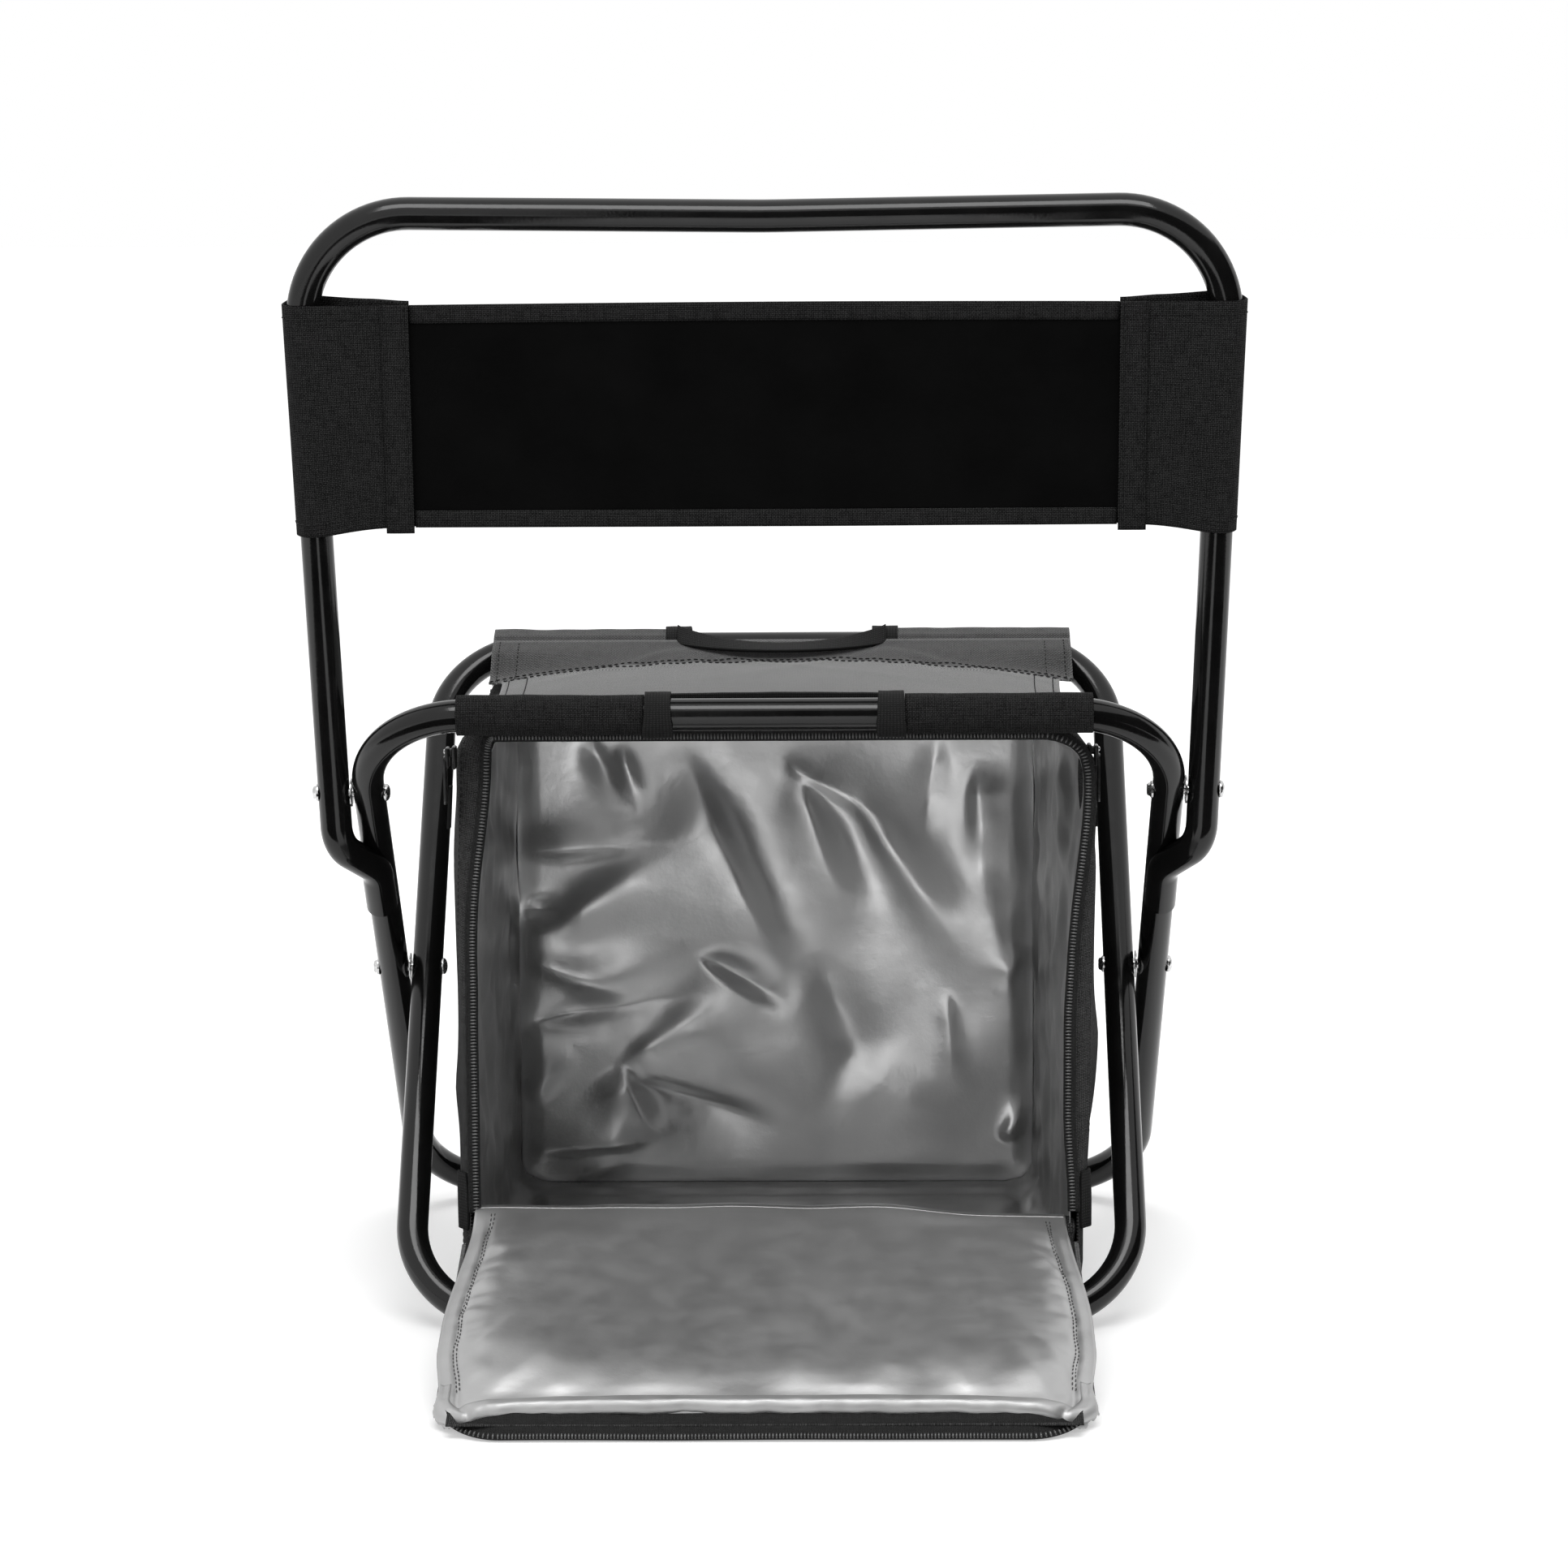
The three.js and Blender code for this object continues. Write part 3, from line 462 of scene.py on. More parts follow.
# camera, fitted to the photograph
camera = {"place": (36.97, -2087.10, 595.31), "right": (0.999896, 0.013029, -0.006225),
          "up": (0.004142, 0.154154, 0.988038), "forward": (-0.013832, 0.987961, -0.154084), "lens": 96.556,
          "sensor": 36, "clipEnd": 60}
eye = bpy.data.objects.new("camera", bpy.data.cameras.new("camera"))
scene.collection.objects.link(eye)
eye.data.lens = camera["lens"]
eye.data.sensor_width = camera["sensor"]
eye.data.clip_end = camera["clipEnd"]
axes = Matrix((camera["right"], camera["up"], -Vector(camera["forward"]))).transposed().to_4x4()
eye.matrix_world = Matrix.Translation(Vector(camera["place"]) * toMetres) @ axes
scene.camera = eye


# the two leg loops
legs = {"crossing": Vector((0, 85.534, 160.107)), "lean": radians(41.85), "tube": 8.0, "wall": 1.2,
        "bend": 52.6, "halfLength": 204.2, "outerHalf": 199.6, "innerHalf": 181.886, "buttGap": 0.3}


def legSpot(side, x, along):
    return legs["crossing"] + Vector((x, side * sin(legs["lean"]) * along, cos(legs["lean"]) * along))


def legLoop(name, side, halfWidth, body):
    reach, gap = legs["halfLength"], legs["buttGap"] / 2
    corners = [legSpot(side, x, along) for x, along in (
        (gap, -reach), (halfWidth, -reach), (halfWidth, reach),
        (-halfWidth, reach), (-halfWidth, -reach), (-gap, -reach))]
    tube = bendTube(corners, [legs["bend"]] * 4, legs["tube"], capped=True)
    loop = finishPiece(name + "_tube", tube, [tubePaint], body, sharp=45)
    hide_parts(name)


legLoop("outer_leg_frame", -1, legs["outerHalf"], "outer_frame")
legLoop("inner_leg_frame", 1, legs["innerHalf"], "inner_frame")
for plug in ("outer_splice_plug", "inner_splice_plug"):
    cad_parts[plug].data.materials.clear()
    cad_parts[plug].data.materials.append(gunmetal)
print("leg loops bent")


# backrest tube: its ends turn in and are pressed to half pipes on the outer legs
back = {"pivot": Vector((0, -11.274, 268.191)), "lean": radians(6.1), "splay": radians(1.7), "half": 217.314,
        "length": 289.9, "cornerBend": 52.6, "dip": 3.0, "dipBend": 526.0, "hookDrop": 28.0,
        "hookBend": 20.0, "turnAlong": 50.0, "endAlong": 80.0, "offset": 9.2, "fit": 8.46,
        "saddleLong": 190.0, "saddleAlong": 70.0}


def backSpot(x, up, near=0.0):
    lean = back["lean"]
    return back["pivot"] + Vector((x, -sin(lean) * up - cos(lean) * near, cos(lean) * up - sin(lean) * near))


def backHalf(up):
    return back["half"] + up * tan(back["splay"])


def besideLeg(side, along, off):
    t = legs["lean"] - back["lean"]
    return backSpot(side * legs["outerHalf"], -along * cos(t) - off * sin(t), -along * sin(t) + off * cos(t))


def backrestTube():
    corners, bends = [], []
    for side in (-1, 1):
        half = [(besideLeg(side, back["endAlong"], back["offset"]), 0),
                (besideLeg(side, back["turnAlong"], back["offset"]), back["hookBend"]),
                (backSpot(side * backHalf(-back["hookDrop"]), -back["hookDrop"]), back["hookBend"]),
                (backSpot(side * backHalf(back["length"]), back["length"]), back["cornerBend"])]
        if side > 0:
            corners.append(backSpot(0, back["length"] - back["dip"]))
            bends.append(back["dipBend"])
            half.reverse()
        corners += [c for c, b in half]
        bends += [b for c, b in half if b]
    bent = bendTube(corners, bends, legs["tube"])
    tube = finishPiece("backrest_tube", bent, [tubePaint], None)
    thicken(tube, legs["wall"], -1)
    saddles = []
    for side in (-1, 1):  # the leg itself presses each end hollow
        bm = bmesh.new()
        middle = legSpot(-1, side * legs["outerHalf"], back["saddleAlong"])
        bmesh.ops.create_cone(bm, cap_ends=True, segments=48, radius1=back["fit"], radius2=back["fit"],
                              depth=back["saddleLong"],
                              matrix=Matrix.Translation(middle) @ Matrix.Rotation(legs["lean"], 4, "X"))
        saddle = finishPiece("saddle", bm, [tubePaint], None)
        cut = tube.modifiers.new("saddle", "BOOLEAN")
        cut.object, cut.operation, cut.solver = saddle, "DIFFERENCE", "EXACT"
        saddles.append(saddle)
    pressed = bpy.data.meshes.new_from_object(tube.evaluated_get(bpy.context.evaluated_depsgraph_get()))
    tube.modifiers.clear()
    tube.data = pressed
    pressed.materials.clear()
    pressed.materials.append(tubePaint)
    for face in pressed.polygons:
        face.material_index = 0
    pressed.set_sharp_from_angle(angle=radians(40))
    for saddle in saddles:
        bpy.data.objects.remove(saddle)
    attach(tube, "backrest")
    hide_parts("backrest_frame")


backrestTube()
print("backrest tube pressed")


# rivets: a shank through two tubes, a turned shop head and a domed factory head
rivets = {"shank": 2.5, "head": 4.4, "rise": 3.0, "lip": 0.9, "sunk": 0.4, "washer": 7.2, "washerBore": 3.2,
          "washerShare": 0.5}


def domedRivet(name, centre, reach, body):
    head, rise, lip, shank = rivets["head"], rivets["rise"], rivets["lip"], rivets["shank"]
    shop = [(0, rise), (head * 0.55, rise), (head * 0.7, rise * 0.86), (head * 0.78, rise * 0.5),
            (head, lip), (head, 0), (shank, 0)]
    dome = [(head * cos(a * pi / 16), lip + (rise - lip) * sin(a * pi / 16)) for a in range(8)] + [(0, rise)]
    rim = [(r, -reach - h) for r, h in shop]
    rim += [(r, reach + h) for r, h in [(shank, 0), (head * 0.96, 0), (head, lip * 0.4)] + dome]
    turned = turnedPart(rim, centre, (1, 0, 0), 26)
    rivet = finishPiece(name + "_turned", turned, [steel], body, sharp=50)
    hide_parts(name)


def flatWasher(name, centre, thick, body):
    outer, bore, half = rivets["washer"], rivets["washerBore"], thick / 2
    edge, side = outer - 0.2, half - 0.15
    rim = [(bore, -half), (edge, -half), (outer, -side), (outer, side), (edge, half), (bore, half)]
    turned = turnedPart(rim + rim[:1], centre, (1, 0, 0), 32)
    washer = finishPiece(name + "_turned", turned, [steel], body, sharp=40)
    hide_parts(name)


for word, side in bothSides:
    for kind, first, second, spot in (
            ("crossing", legs["innerHalf"], legs["outerHalf"], legs["crossing"]),
            ("backrest", legs["outerHalf"], back["half"], back["pivot"])):
        centre = spot + Vector((side * (first + second) / 2, 0, 0))
        reach = (second - first) / 2 + legs["tube"] - rivets["sunk"]
        domedRivet(kind + "_rivet_" + word, centre, reach, "outer_frame")
        gap = second - first - 2 * legs["tube"]
        flatWasher(kind + "_washer_" + word, centre, gap * rivets["washerShare"], "outer_frame")
print("rivets turned")


# backrest cloth: two tunnels round the tube and a coated centre panel sewn between them
restCloth = {"low": 135.2, "high": 244.6, "middle": 190.0, "seamIn": 172.6, "seamOut": 186.2, "cover": 9.3,
             "thick": 0.9, "hem": 8.6, "droop": 3.4, "seamFront": 2.7, "seamRear": 1.9, "seamFree": 5.0,
             "bandLonger": 3.0, "bandDrop": 2.6}


def tunnelPath(halfTube):  # from the seam out in front of the tube, round it and back behind it
    seamIn, seamOut, cover = restCloth["seamIn"], restCloth["seamOut"], restCloth["cover"]
    front, rear, free = restCloth["seamFront"], restCloth["seamRear"], seamOut + restCloth["seamFree"]

    def slant(k, seam):
        t = k / 6
        return free + (halfTube - free) * t, seam + (cover - seam) * (0.72 * t + 0.28 * t * t)

    path = [(seamIn, 1.9), (seamIn + 4, 1.9), (seamOut, 2.0), (free, front)]
    path += [slant(k, front) for k in range(1, 6)]
    for k in range(0, 13):
        a = pi / 2 - k * pi / 12
        path.append((halfTube + cover * cos(a), cover * sin(a)))
    path += [(x, -near) for x, near in (slant(k, rear) for k in range(5, 0, -1))]
    path += [(seamOut, -1.7), (seamIn + 4, -1.6), (seamIn, -1.6)]
    return path


def pathLength(path):
    return sum(hypot(b[0] - a[0], b[1] - a[1]) for a, b in zip(path, path[1:]))


def alongPath(path, t):
    lengths = [hypot(b[0] - a[0], b[1] - a[1]) for a, b in zip(path, path[1:])]
    due = t * sum(lengths)
    for (a, b), run in zip(zip(path, path[1:]), lengths):
        if due <= run or b is path[-1]:
            s = min(1.0, due / run)
            return a[0] + (b[0] - a[0]) * s, a[1] + (b[1] - a[1]) * s
        due -= run


def backrestTunnel(word, side):
    low, tall = restCloth["low"], restCloth["high"] - restCloth["low"]
    flat = pathLength(tunnelPath(backHalf(restCloth["middle"])))

    def place(u, v):
        rough = low + tall * v
        x, near = alongPath(tunnelPath(backHalf(rough)), u)
        farLift = 3.0 * ease(0.5, 0.62, u) - 1.0 * ease(0.86, 1, u)
        atTube = exp(-((x - backHalf(rough) - 2) / 22) ** 2)
        up = rough + farLift * v * v - restCloth["droop"] * atTube * (1 - v) ** 2 + 1.2 * atTube * v ** 6
        loose = (1 if u < 0.45 else 0.5) * ease(0.04, 0.12, u) * ease(0.0, 0.06, 1 - u)
        near += 0.5 * ripple(up, u * 90, 34, side) * loose
        return backSpot(side * x, up, near)

    tunnel = finishPiece("backrest_tunnel_" + word, clothGrid(92, 60, (flat, tall), place, flip=side < 0),
                         [charcoalWeavePaintedShade], "backrest")
    thicken(tunnel, restCloth["thick"])
    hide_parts("backrest_sleeve_" + word)
    wide, bandTall = restCloth["seamOut"] - restCloth["seamIn"], tall + restCloth["bandLonger"]

    def bandPlace(u, v):  # the folded seam allowance lies on top, a little longer than the panel
        near = 2.9 + 0.35 * (1 - (2 * u - 1) ** 6) + 0.2 * ripple(v * bandTall, u * wide, 12, side)
        up = low - restCloth["bandDrop"] + bandTall * v
        return backSpot(side * (restCloth["seamIn"] + wide * u), up, near)

    band = finishPiece("backrest_seam_band_" + word,
                       clothGrid(12, 50, (wide, bandTall), bandPlace, flip=side < 0),
                       [charcoalWeavePaintedShade], "backrest")
    thicken(band, 1.0)
    seams = bmesh.new()
    for lane in (0.16, 0.86):
        sewRow(seams, bandPlace, [(lane, 0.01), (lane, 0.99)], pitch=3.1, thick=0.36, lift=0.6, side=side)
    for inset in (2.2, wide - 1.2):
        for lane in (inset / flat, 1 - inset / flat):
            sewRow(seams, place, [(lane, 0.02), (lane, 0.98)], pitch=3.1, side=side)
    for hem in (0.055, 0.945):
        sewRow(seams, place, [(0.08, hem), (0.92, hem)], pitch=3.1, length=2.4, thick=0.32, lift=0.5,
               side=side)
    finishPiece("backrest_tunnel_stitches_" + word, seams, [darkThread], "backrest")


for word, side in bothSides:
    backrestTunnel(word, side)


def backrestPanel():
    half = restCloth["seamOut"] - 1.0
    low, high = restCloth["low"] + 0.4, restCloth["high"] - 0.2

    def place(u, v, lift=0.0):
        x = -half + 2 * half * u
        pull = 1 - (x / half) ** 2
        up = low + (high - low) * v + 1.1 * pull * (v - 0.45)
        near = -3.0 * pull * (1 - (2 * v - 1) ** 2 * 0.6) + 0.6 * ripple(x, up, 70, 3) * pull + lift
        return backSpot(x, up, near)

    panel = finishPiece("backrest_centre_panel", clothGrid(110, 40, (2 * half, high - low), place),
                        [coatedBack, charcoalWeavePaintedShade, charcoalWeavePaintedShade], "backrest")
    wall = thicken(panel, restCloth["thick"] + 0.4).modifiers["thickness"]
    wall.material_offset, wall.material_offset_rim = 1, 1
    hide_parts("backrest_panel")
    rows, hems = bmesh.new(), []
    for word, first, last in (("top", 1 - restCloth["hem"] / (high - low), 1.004),
                              ("bottom", -0.004, 0.072)):
        def hemPlace(u, v, first=first, last=last):
            return place(0.035 + 0.93 * u, first + (last - first) * v, 1.35 - 0.5 * (2 * v - 1) ** 4)
        grid = clothGrid(110, 6, (1.86 * half, restCloth["hem"]), hemPlace, flip=True)
        hem = finishPiece("backrest_hem_" + word, grid, [charcoalWeavePaintedShade], "backrest")
        hems.append(thicken(hem, 0.7))
        lane = 0.2 if word == "top" else 0.8
        sewRow(rows, hemPlace, [(0.005, lane), (0.995, lane)], pitch=3.1, length=2.4, thick=0.32, lift=0.5,
               side=-1, drift=0.5)
    hems.append(finishPiece("backrest_hem_stitches", rows, [hemThread], "backrest"))


backrestPanel()
print("backrest cloth sewn")


# seat: sleeves round both bars, a hanging panel between them and two webbing handles
seat = {"nearBar": (-50.7, 312.21), "farBar": (221.77, 312.21), "cover": 9.6, "thick": 1.0, "bare": 50.5,
        "wrap": 13.0, "shift": 4.0, "sleeveEnd": 155.5, "farLonger": 3.0, "seam": 180.0, "sideDrop": 8.5,
        "sag": 3.0, "level": 309.6, "inset": 22.0, "half": 153.0, "edgeHalf": 152.0, "stripHalf": 158.4,
        "nearGap": 12.5, "farGap": 12.0, "strap": 13.0, "strapHalf": 57.0, "blendStart": (0, -0.03, 0.31),
        "blendEnd": (0, 0.2, 0.31)}


def seatHeight(x, y):
    near, far = seat["nearBar"][0] + seat["inset"], seat["farBar"][0] - seat["inset"]
    t = (y - near) / (far - near)
    flat = seat["level"] - seat["sag"] * 4 * t * (1 - t)
    edge = abs(x - seat["shift"]) / seat["edgeHalf"]
    drop = seat["sideDrop"] * edge ** 3 * ease(0, 0.25, t) * ease(0, 0.1, 1 - t)
    folds = 0.0
    for wrapX in (-seat["strapHalf"], seat["strapHalf"]):  # pulled folds that fan out from the far wraps
        dx, dy = x - seat["shift"] - wrapX, far - y
        for bearing in (-0.9, -0.25, 0.45, 1.05):
            lean = dx - dy * tan(bearing)
            folds += 1.5 * exp(-(lean / (4 + dy * 0.16)) ** 2) * exp(-dy / 38) * ease(-2, 12, dy)
    rise = 11 * max(0, (y - seat["seam"]) / 42) ** 1.3  # up to the far bar
    rise += 6 * max(0, (near - 2 - y) / 10) ** 1.4  # and to the near one
    return flat - drop + rise + folds + 0.9 * ripple(x, y, 62, 5) * ease(0, 0.12, t) * ease(0, 0.1, 1 - t)


def seamLine(x):
    edge = abs((x - seat["shift"]) / seat["edgeHalf"])
    return seat["seam"] - 11.0 * edge ** 3 + 1.6 * ripple(x, 0, 40, 8)


def sleevePath(bar, away):  # a loop of cloth from the seat's edge over the bar and back under it
    y, z = bar
    cover = seat["cover"]
    if away > 0:
        path, first = [(y + 13, z + 2.6), (y + 11, z + 4.4)], 38
    else:
        path, first = [(y - 13.5, z + 3.7), (y - 9.2, z + 7.0)], 62
    for k in range(0, 15):
        a = radians(first) + k * radians(322 - first) / 14
        path.append((y + away * cover * cos(a), z + cover * sin(a)))
    path += [(y + away * 11.5, z - 5.2), (y + away * 13, z - 4.4)]
    return path


def barSleeve(name, bar, away, x0, x1, body, node):
    path = sleevePath(bar, away)
    flat, span = pathLength(path), abs(x1 - x0)

    def place(u, v):
        x = x0 + (x1 - x0) * v
        y, z = alongPath(path, u)
        puff = 0.45 * ripple(x, u * 60, 17, away) + 0.35 * ripple(x, u * 90, 46, away + 4)
        puff *= ease(0.02, 0.14, u)
        dy, dz = y - bar[0], z - bar[1]
        reach = max(1.0, hypot(dy, dz))
        return Vector((x, y + dy / reach * puff, z + dz / reach * puff))

    # near sleeves take the darkest copy of the cloth and far sleeves the half-shade copy: painted shade
    sleeve = finishPiece(name, clothGrid(64, 48, (flat, span), place, flip=away * (x1 - x0) > 0),
                         [charcoalWeavePaintedShade if away > 0 else sleeveWeavePaintedHalfShade], body)
    thicken(sleeve, seat["thick"])
    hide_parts(node)
    rows = bmesh.new()
    side = 1 if away * (x1 - x0) < 0 else -1
    for inset in (3.0, 13.0):
        sewRow(rows, place, [(0.06, inset / span), (0.94, inset / span)], side=side)
    for lane in (0.035, 0.965) if away > 0 else (0.965,):
        sewRow(rows, place, [(lane, 0.01), (lane, 0.99)], side=side)
    finishPiece(name + "_stitches", rows, [darkThread], body)


sleeveStart = seat["bare"] + seat["wrap"] + 0.3
for word, side in bothSides:
    first = side * sleeveStart + seat["shift"]
    nearEnd = side * seat["sleeveEnd"] + seat["shift"]
    farEnd = side * (seat["sleeveEnd"] + seat["farLonger"]) + seat["shift"]
    barSleeve("near_sleeve_" + word, seat["nearBar"], 1, nearEnd, first, "outer_frame",
              "near_bar_sleeve_" + word)
    barSleeve("far_sleeve_" + word, seat["farBar"], -1, farEnd, first, "inner_frame",
              "far_bar_sleeve_" + word)


def hangBetweenBars(piece):
    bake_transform(piece)


def seatPanel():
    near, far, half = seat["nearBar"][0] + seat["nearGap"], seat["farBar"][0] - seat["farGap"], seat["half"]

    def place(u, v):
        y = near + (far - near) * v
        wide = half - 4.5 * sin(pi * v) - 1.5 * (1 - v)
        strip = ease(-14, -10, y - seat["seam"])  # the far strip is as wide as its sleeves
        wide += (seat["stripHalf"] - wide) * strip
        x = seat["shift"] + (2 * u - 1) * wide
        return Vector((x, y, seatHeight(x, y)))

    sheet = clothGrid(110, 84, (2 * half, far - near), place)
    for face in sheet.faces:  # the strip behind the seam takes the far sleeves' darker copy of the cloth: painted shade where it slopes up to the far bar
        spot = face.calc_center_median()
        face.material_index = 1 if spot.y > seamLine(spot.x) - 2 else 0
    panel = finishPiece("seat_sheet", sheet, [seatWeavePaintedLight, sleeveWeavePaintedHalfShade], None)
    thicken(panel, seat["thick"])
    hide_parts("seat_panel")
    hangBetweenBars(panel)
    rows = bmesh.new()
    for lane in (1.5, -5.5):
        path = []
        for k in range(25):
            x = seat["shift"] + (k / 12 - 1) * half
            path.append((k / 24, (seamLine(x) + lane - near) / (far - near)))
        sewRow(rows, place, path, pitch=3.6, length=2.8, thick=0.4, lift=1.0)
    for edge in (0.012, 0.045, 0.955, 0.988):
        sewRow(rows, place, [(edge, 0.01), (edge, 0.99)], pitch=3.4, length=2.6, thick=0.36)
    hangBetweenBars(finishPiece("seat_stitches", rows, [darkThread], None))


seatPanel()


def handleWraps(name, bar, away, body, node, strapPath):
    made = bmesh.new()
    cover = seat["cover"] + 1.1
    for side in (-1, 1):
        x0 = seat["shift"] + side * (seat["bare"] + seat["wrap"] / 2)

        def place(u, v, x0=x0):
            a = radians(60 if away > 0 else -35) + u * radians(330)
            flare = 1 + 0.09 * ease(0.35, 0.5, u) * ease(0.35, 0.5, 1.0 - u)
            swell = cover + 0.35 * ripple(u * 40, v * 9, 6, x0)
            return Vector((x0 + (v - 0.5) * seat["wrap"] * (flare + 0.05 * sin(u * 9 + x0)),
                           bar[0] + away * swell * cos(a), bar[1] + swell * sin(a)))

        joinInto(made, clothGrid(60, 12, (2 * pi * cover * 0.92, seat["wrap"]), place, flip=away > 0))

    def strapPlace(u, v):
        spot, over = strapPath(u)
        return spot + over * (v - 0.5) * seat["strap"]

    length = sum((strapPath((k + 1) / 40)[0] - strapPath(k / 40)[0]).length for k in range(40))
    joinInto(made, clothGrid(80, 10, (length, seat["strap"]), strapPlace))
    handle = finishPiece(name, made, [webbing], body)
    thicken(handle, 1.5)
    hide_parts(node)


def strapBow(u):  # place along the bar, and share of the strap's full bow
    across = 2 * u - 1
    return seat["shift"] + across * seat["strapHalf"], 1 - across ** 2


def nearStrap(u):  # lies behind the bar, its top edge just above it
    x, dip = strapBow(u)
    y, z = seat["nearBar"]
    spot = Vector((x, y + 11.0 + 0.6 * dip, z + 2.6 + 0.6 * dip - 0.3 * ripple(x, 0, 20, 2)))
    return spot, Vector((0, -0.25, 0.97))


def farStrap(u):  # bows forward and down in front of the far bar
    x, bow = strapBow(u)
    dip = max(0.0, bow) ** 0.8
    y, z = seat["farBar"]
    return (Vector((x, y - 9.5 - 23 * dip, z + 8.0 - 4.6 * dip)),
            Vector((0, 0.7 + 0.28 * dip, 0.7 - 0.5 * dip)).normalized())


handleWraps("near_carry_handle", seat["nearBar"], 1, "outer_frame", "near_handle", nearStrap)
handleWraps("far_carry_handle", seat["farBar"], -1, "inner_frame", "far_handle", farStrap)
print("seat and handles sewn")


# cooler bag
bag = {"half": 155.5, "low": 8.3, "high": 306.5, "front": -34.5, "rear": 204.5, "corner": 20.0, "swell": 6.0,
       "roll": 8.5, "rollIn": 5.0, "bulge": 4.5, "topGap": 0.6, "lip": 60.0, "lipDeep": 7.4,
       "lipFilmHalf": 144.0, "keep": 0.12, "anchor": (0, 0.085534, 0.160107)}


def crumple(piece):
    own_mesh(piece)
    return piece


# a point and its outward direction on a rounded box seen from the front; t runs up the left side first
def boxRim(t, half, low, high, corner, start=0.0):
    straightX, straightZ, turn = 2 * (half - corner), high - low - 2 * corner, corner * pi / 2
    total = 2 * straightX + 2 * straightZ + 4 * turn
    due = ((t + start) % 1.0) * total
    left, right, floor, top = -half + corner, half - corner, low + corner, high - corner
    legsOfBox = [(straightZ, (-half, floor), (0, 1), (-1, 0)), (turn, (left, top), None, pi),
                 (straightX, (left, high), (1, 0), (0, 1)), (turn, (right, top), None, pi / 2),
                 (straightZ, (half, top), (0, -1), (1, 0)), (turn, (right, floor), None, 0.0),
                 (straightX, (right, low), (-1, 0), (0, -1)), (turn, (left, floor), None, -pi / 2)]
    for run, spot, way, face in legsOfBox:
        if due <= run:
            if way:
                return (spot[0] + way[0] * due, spot[1] + way[1] * due), face
            a = face - due / corner
            return (spot[0] + corner * cos(a), spot[1] + corner * sin(a)), (cos(a), sin(a))
        due -= run
    return (-half, floor), (-1, 0)


def rimLength(half, low, high, corner):
    return 2 * (2 * half + high - low) - 8 * corner + 2 * pi * corner


def topDroop(x, y):  # the bag's top hangs just under the seat
    return min(0.0, seatHeight(x, y) - seat["level"]) - bag["topGap"]


def mouthLean(x, z):  # the open mouth isn't square: it leans in at the upper left and bows out on the right
    if x < 0:
        return 9.0 * ease(185, 300, z) + 0.8 * ripple(z, 0, 50, 3)
    bow = 4.0 - 2.4 * ease(210, 150, z) * ease(60, 110, z)
    return bow + 7.0 * ease(190, 272, z) - 5.0 * ease(276, 304, z)


# slack folds of the shell: in y and z on the side walls, in x and z on the rear wall
sideFolds = [((6, 294), (62, 196), 14, 32, 2.8), ((196, 296), (146, 210), 28, 14, 2.8),
             ((-20, 152), (74, 118), 20, 36, 2.4), ((192, 124), (106, 92), 32, 18, 2.4),
             ((18, 28), (92, 74), 16, 32, 2.2), ((186, 22), (128, 82), 26, 14, 2.4),
             ((58, 252), (124, 168), 18, 28, 2.0)]
rearFolds = [((-140, 296), (-58, 188), 16, 38, 3.0), ((138, 292), (68, 178), 36, 16, 3.0),
             ((-18, 38), (-112, 92), 20, 32, 2.4), ((28, 28), (122, 112), 32, 18, 2.6),
             ((-122, 152), (42, 118), 32, 42, 2.0), ((102, 222), (-22, 158), 28, 36, 2.0)]


def foldHeight(folds, x, z):
    height = 0.0
    for (ax, az), (bx, bz), left, right, rise in folds:
        run = hypot(bx - ax, bz - az)
        tx, tz = (bx - ax) / run, (bz - az) / run
        s = ((x - ax) * tx + (z - az) * tz) / run
        d = (x - ax) * -tz + (z - az) * tx
        spread = (left if d > 0 else right) * (0.4 + 0.75 * min(1.2, max(0, s)))
        height += rise * exp(-abs(d / spread) ** 1.7) * ease(-0.06, 0.3, s) * ease(-0.22, 0.5, 1 - s)
    return height


def zipRoll(y):  # full at the mouth, where the cloth rolls in to the zip
    return 1 - ease(0, bag["roll"], y - bag["front"])


def shellSpot(u, depth):
    (x, z), (nx, nz) = boxRim(u, bag["half"], bag["low"], bag["high"], bag["corner"])
    y = bag["front"] + (bag["rear"] - bag["front"]) * depth
    inDepth = ease(0.06, 0.3, depth) * (1 - 0.75 * ease(0.8, 1.0, depth))
    height = (z - bag["low"]) / (bag["high"] - bag["low"])
    swell = bag["swell"] * inDepth * sin(pi * min(1, max(0, height))) ** 0.7 * abs(nx)
    swell += 1.3 * ripple(y, z, 48, x) * inDepth * abs(nx)
    swell += foldHeight(sideFolds, y if x > 0 else 172 - y, z) * inDepth * abs(nx)
    under = max(0.0, -nz)
    swell += under * inDepth * (2.6 * (1 - (x / bag["half"]) ** 2) + 0.8 * ripple(x, y, 40, 2))
    swell -= zipRoll(y) * (bag["rollIn"] * abs(nx) + 3.0 * max(0, nz))
    if x > 0:  # the right side bulges beside the zip
        level = ease(45, 110, z) * (1 - ease(215, 275, z))
        swell += bag["bulge"] * level * ease(1, 11, y - bag["front"]) * nx
    lean = mouthLean(x, z) * abs(nx) * (1 - ease(0, 20, y - bag["front"]))
    x, z = x + nx * swell + lean, z + nz * swell
    if nz > 0:
        z += topDroop(x, y) * nz
    return Vector((x, y, z))


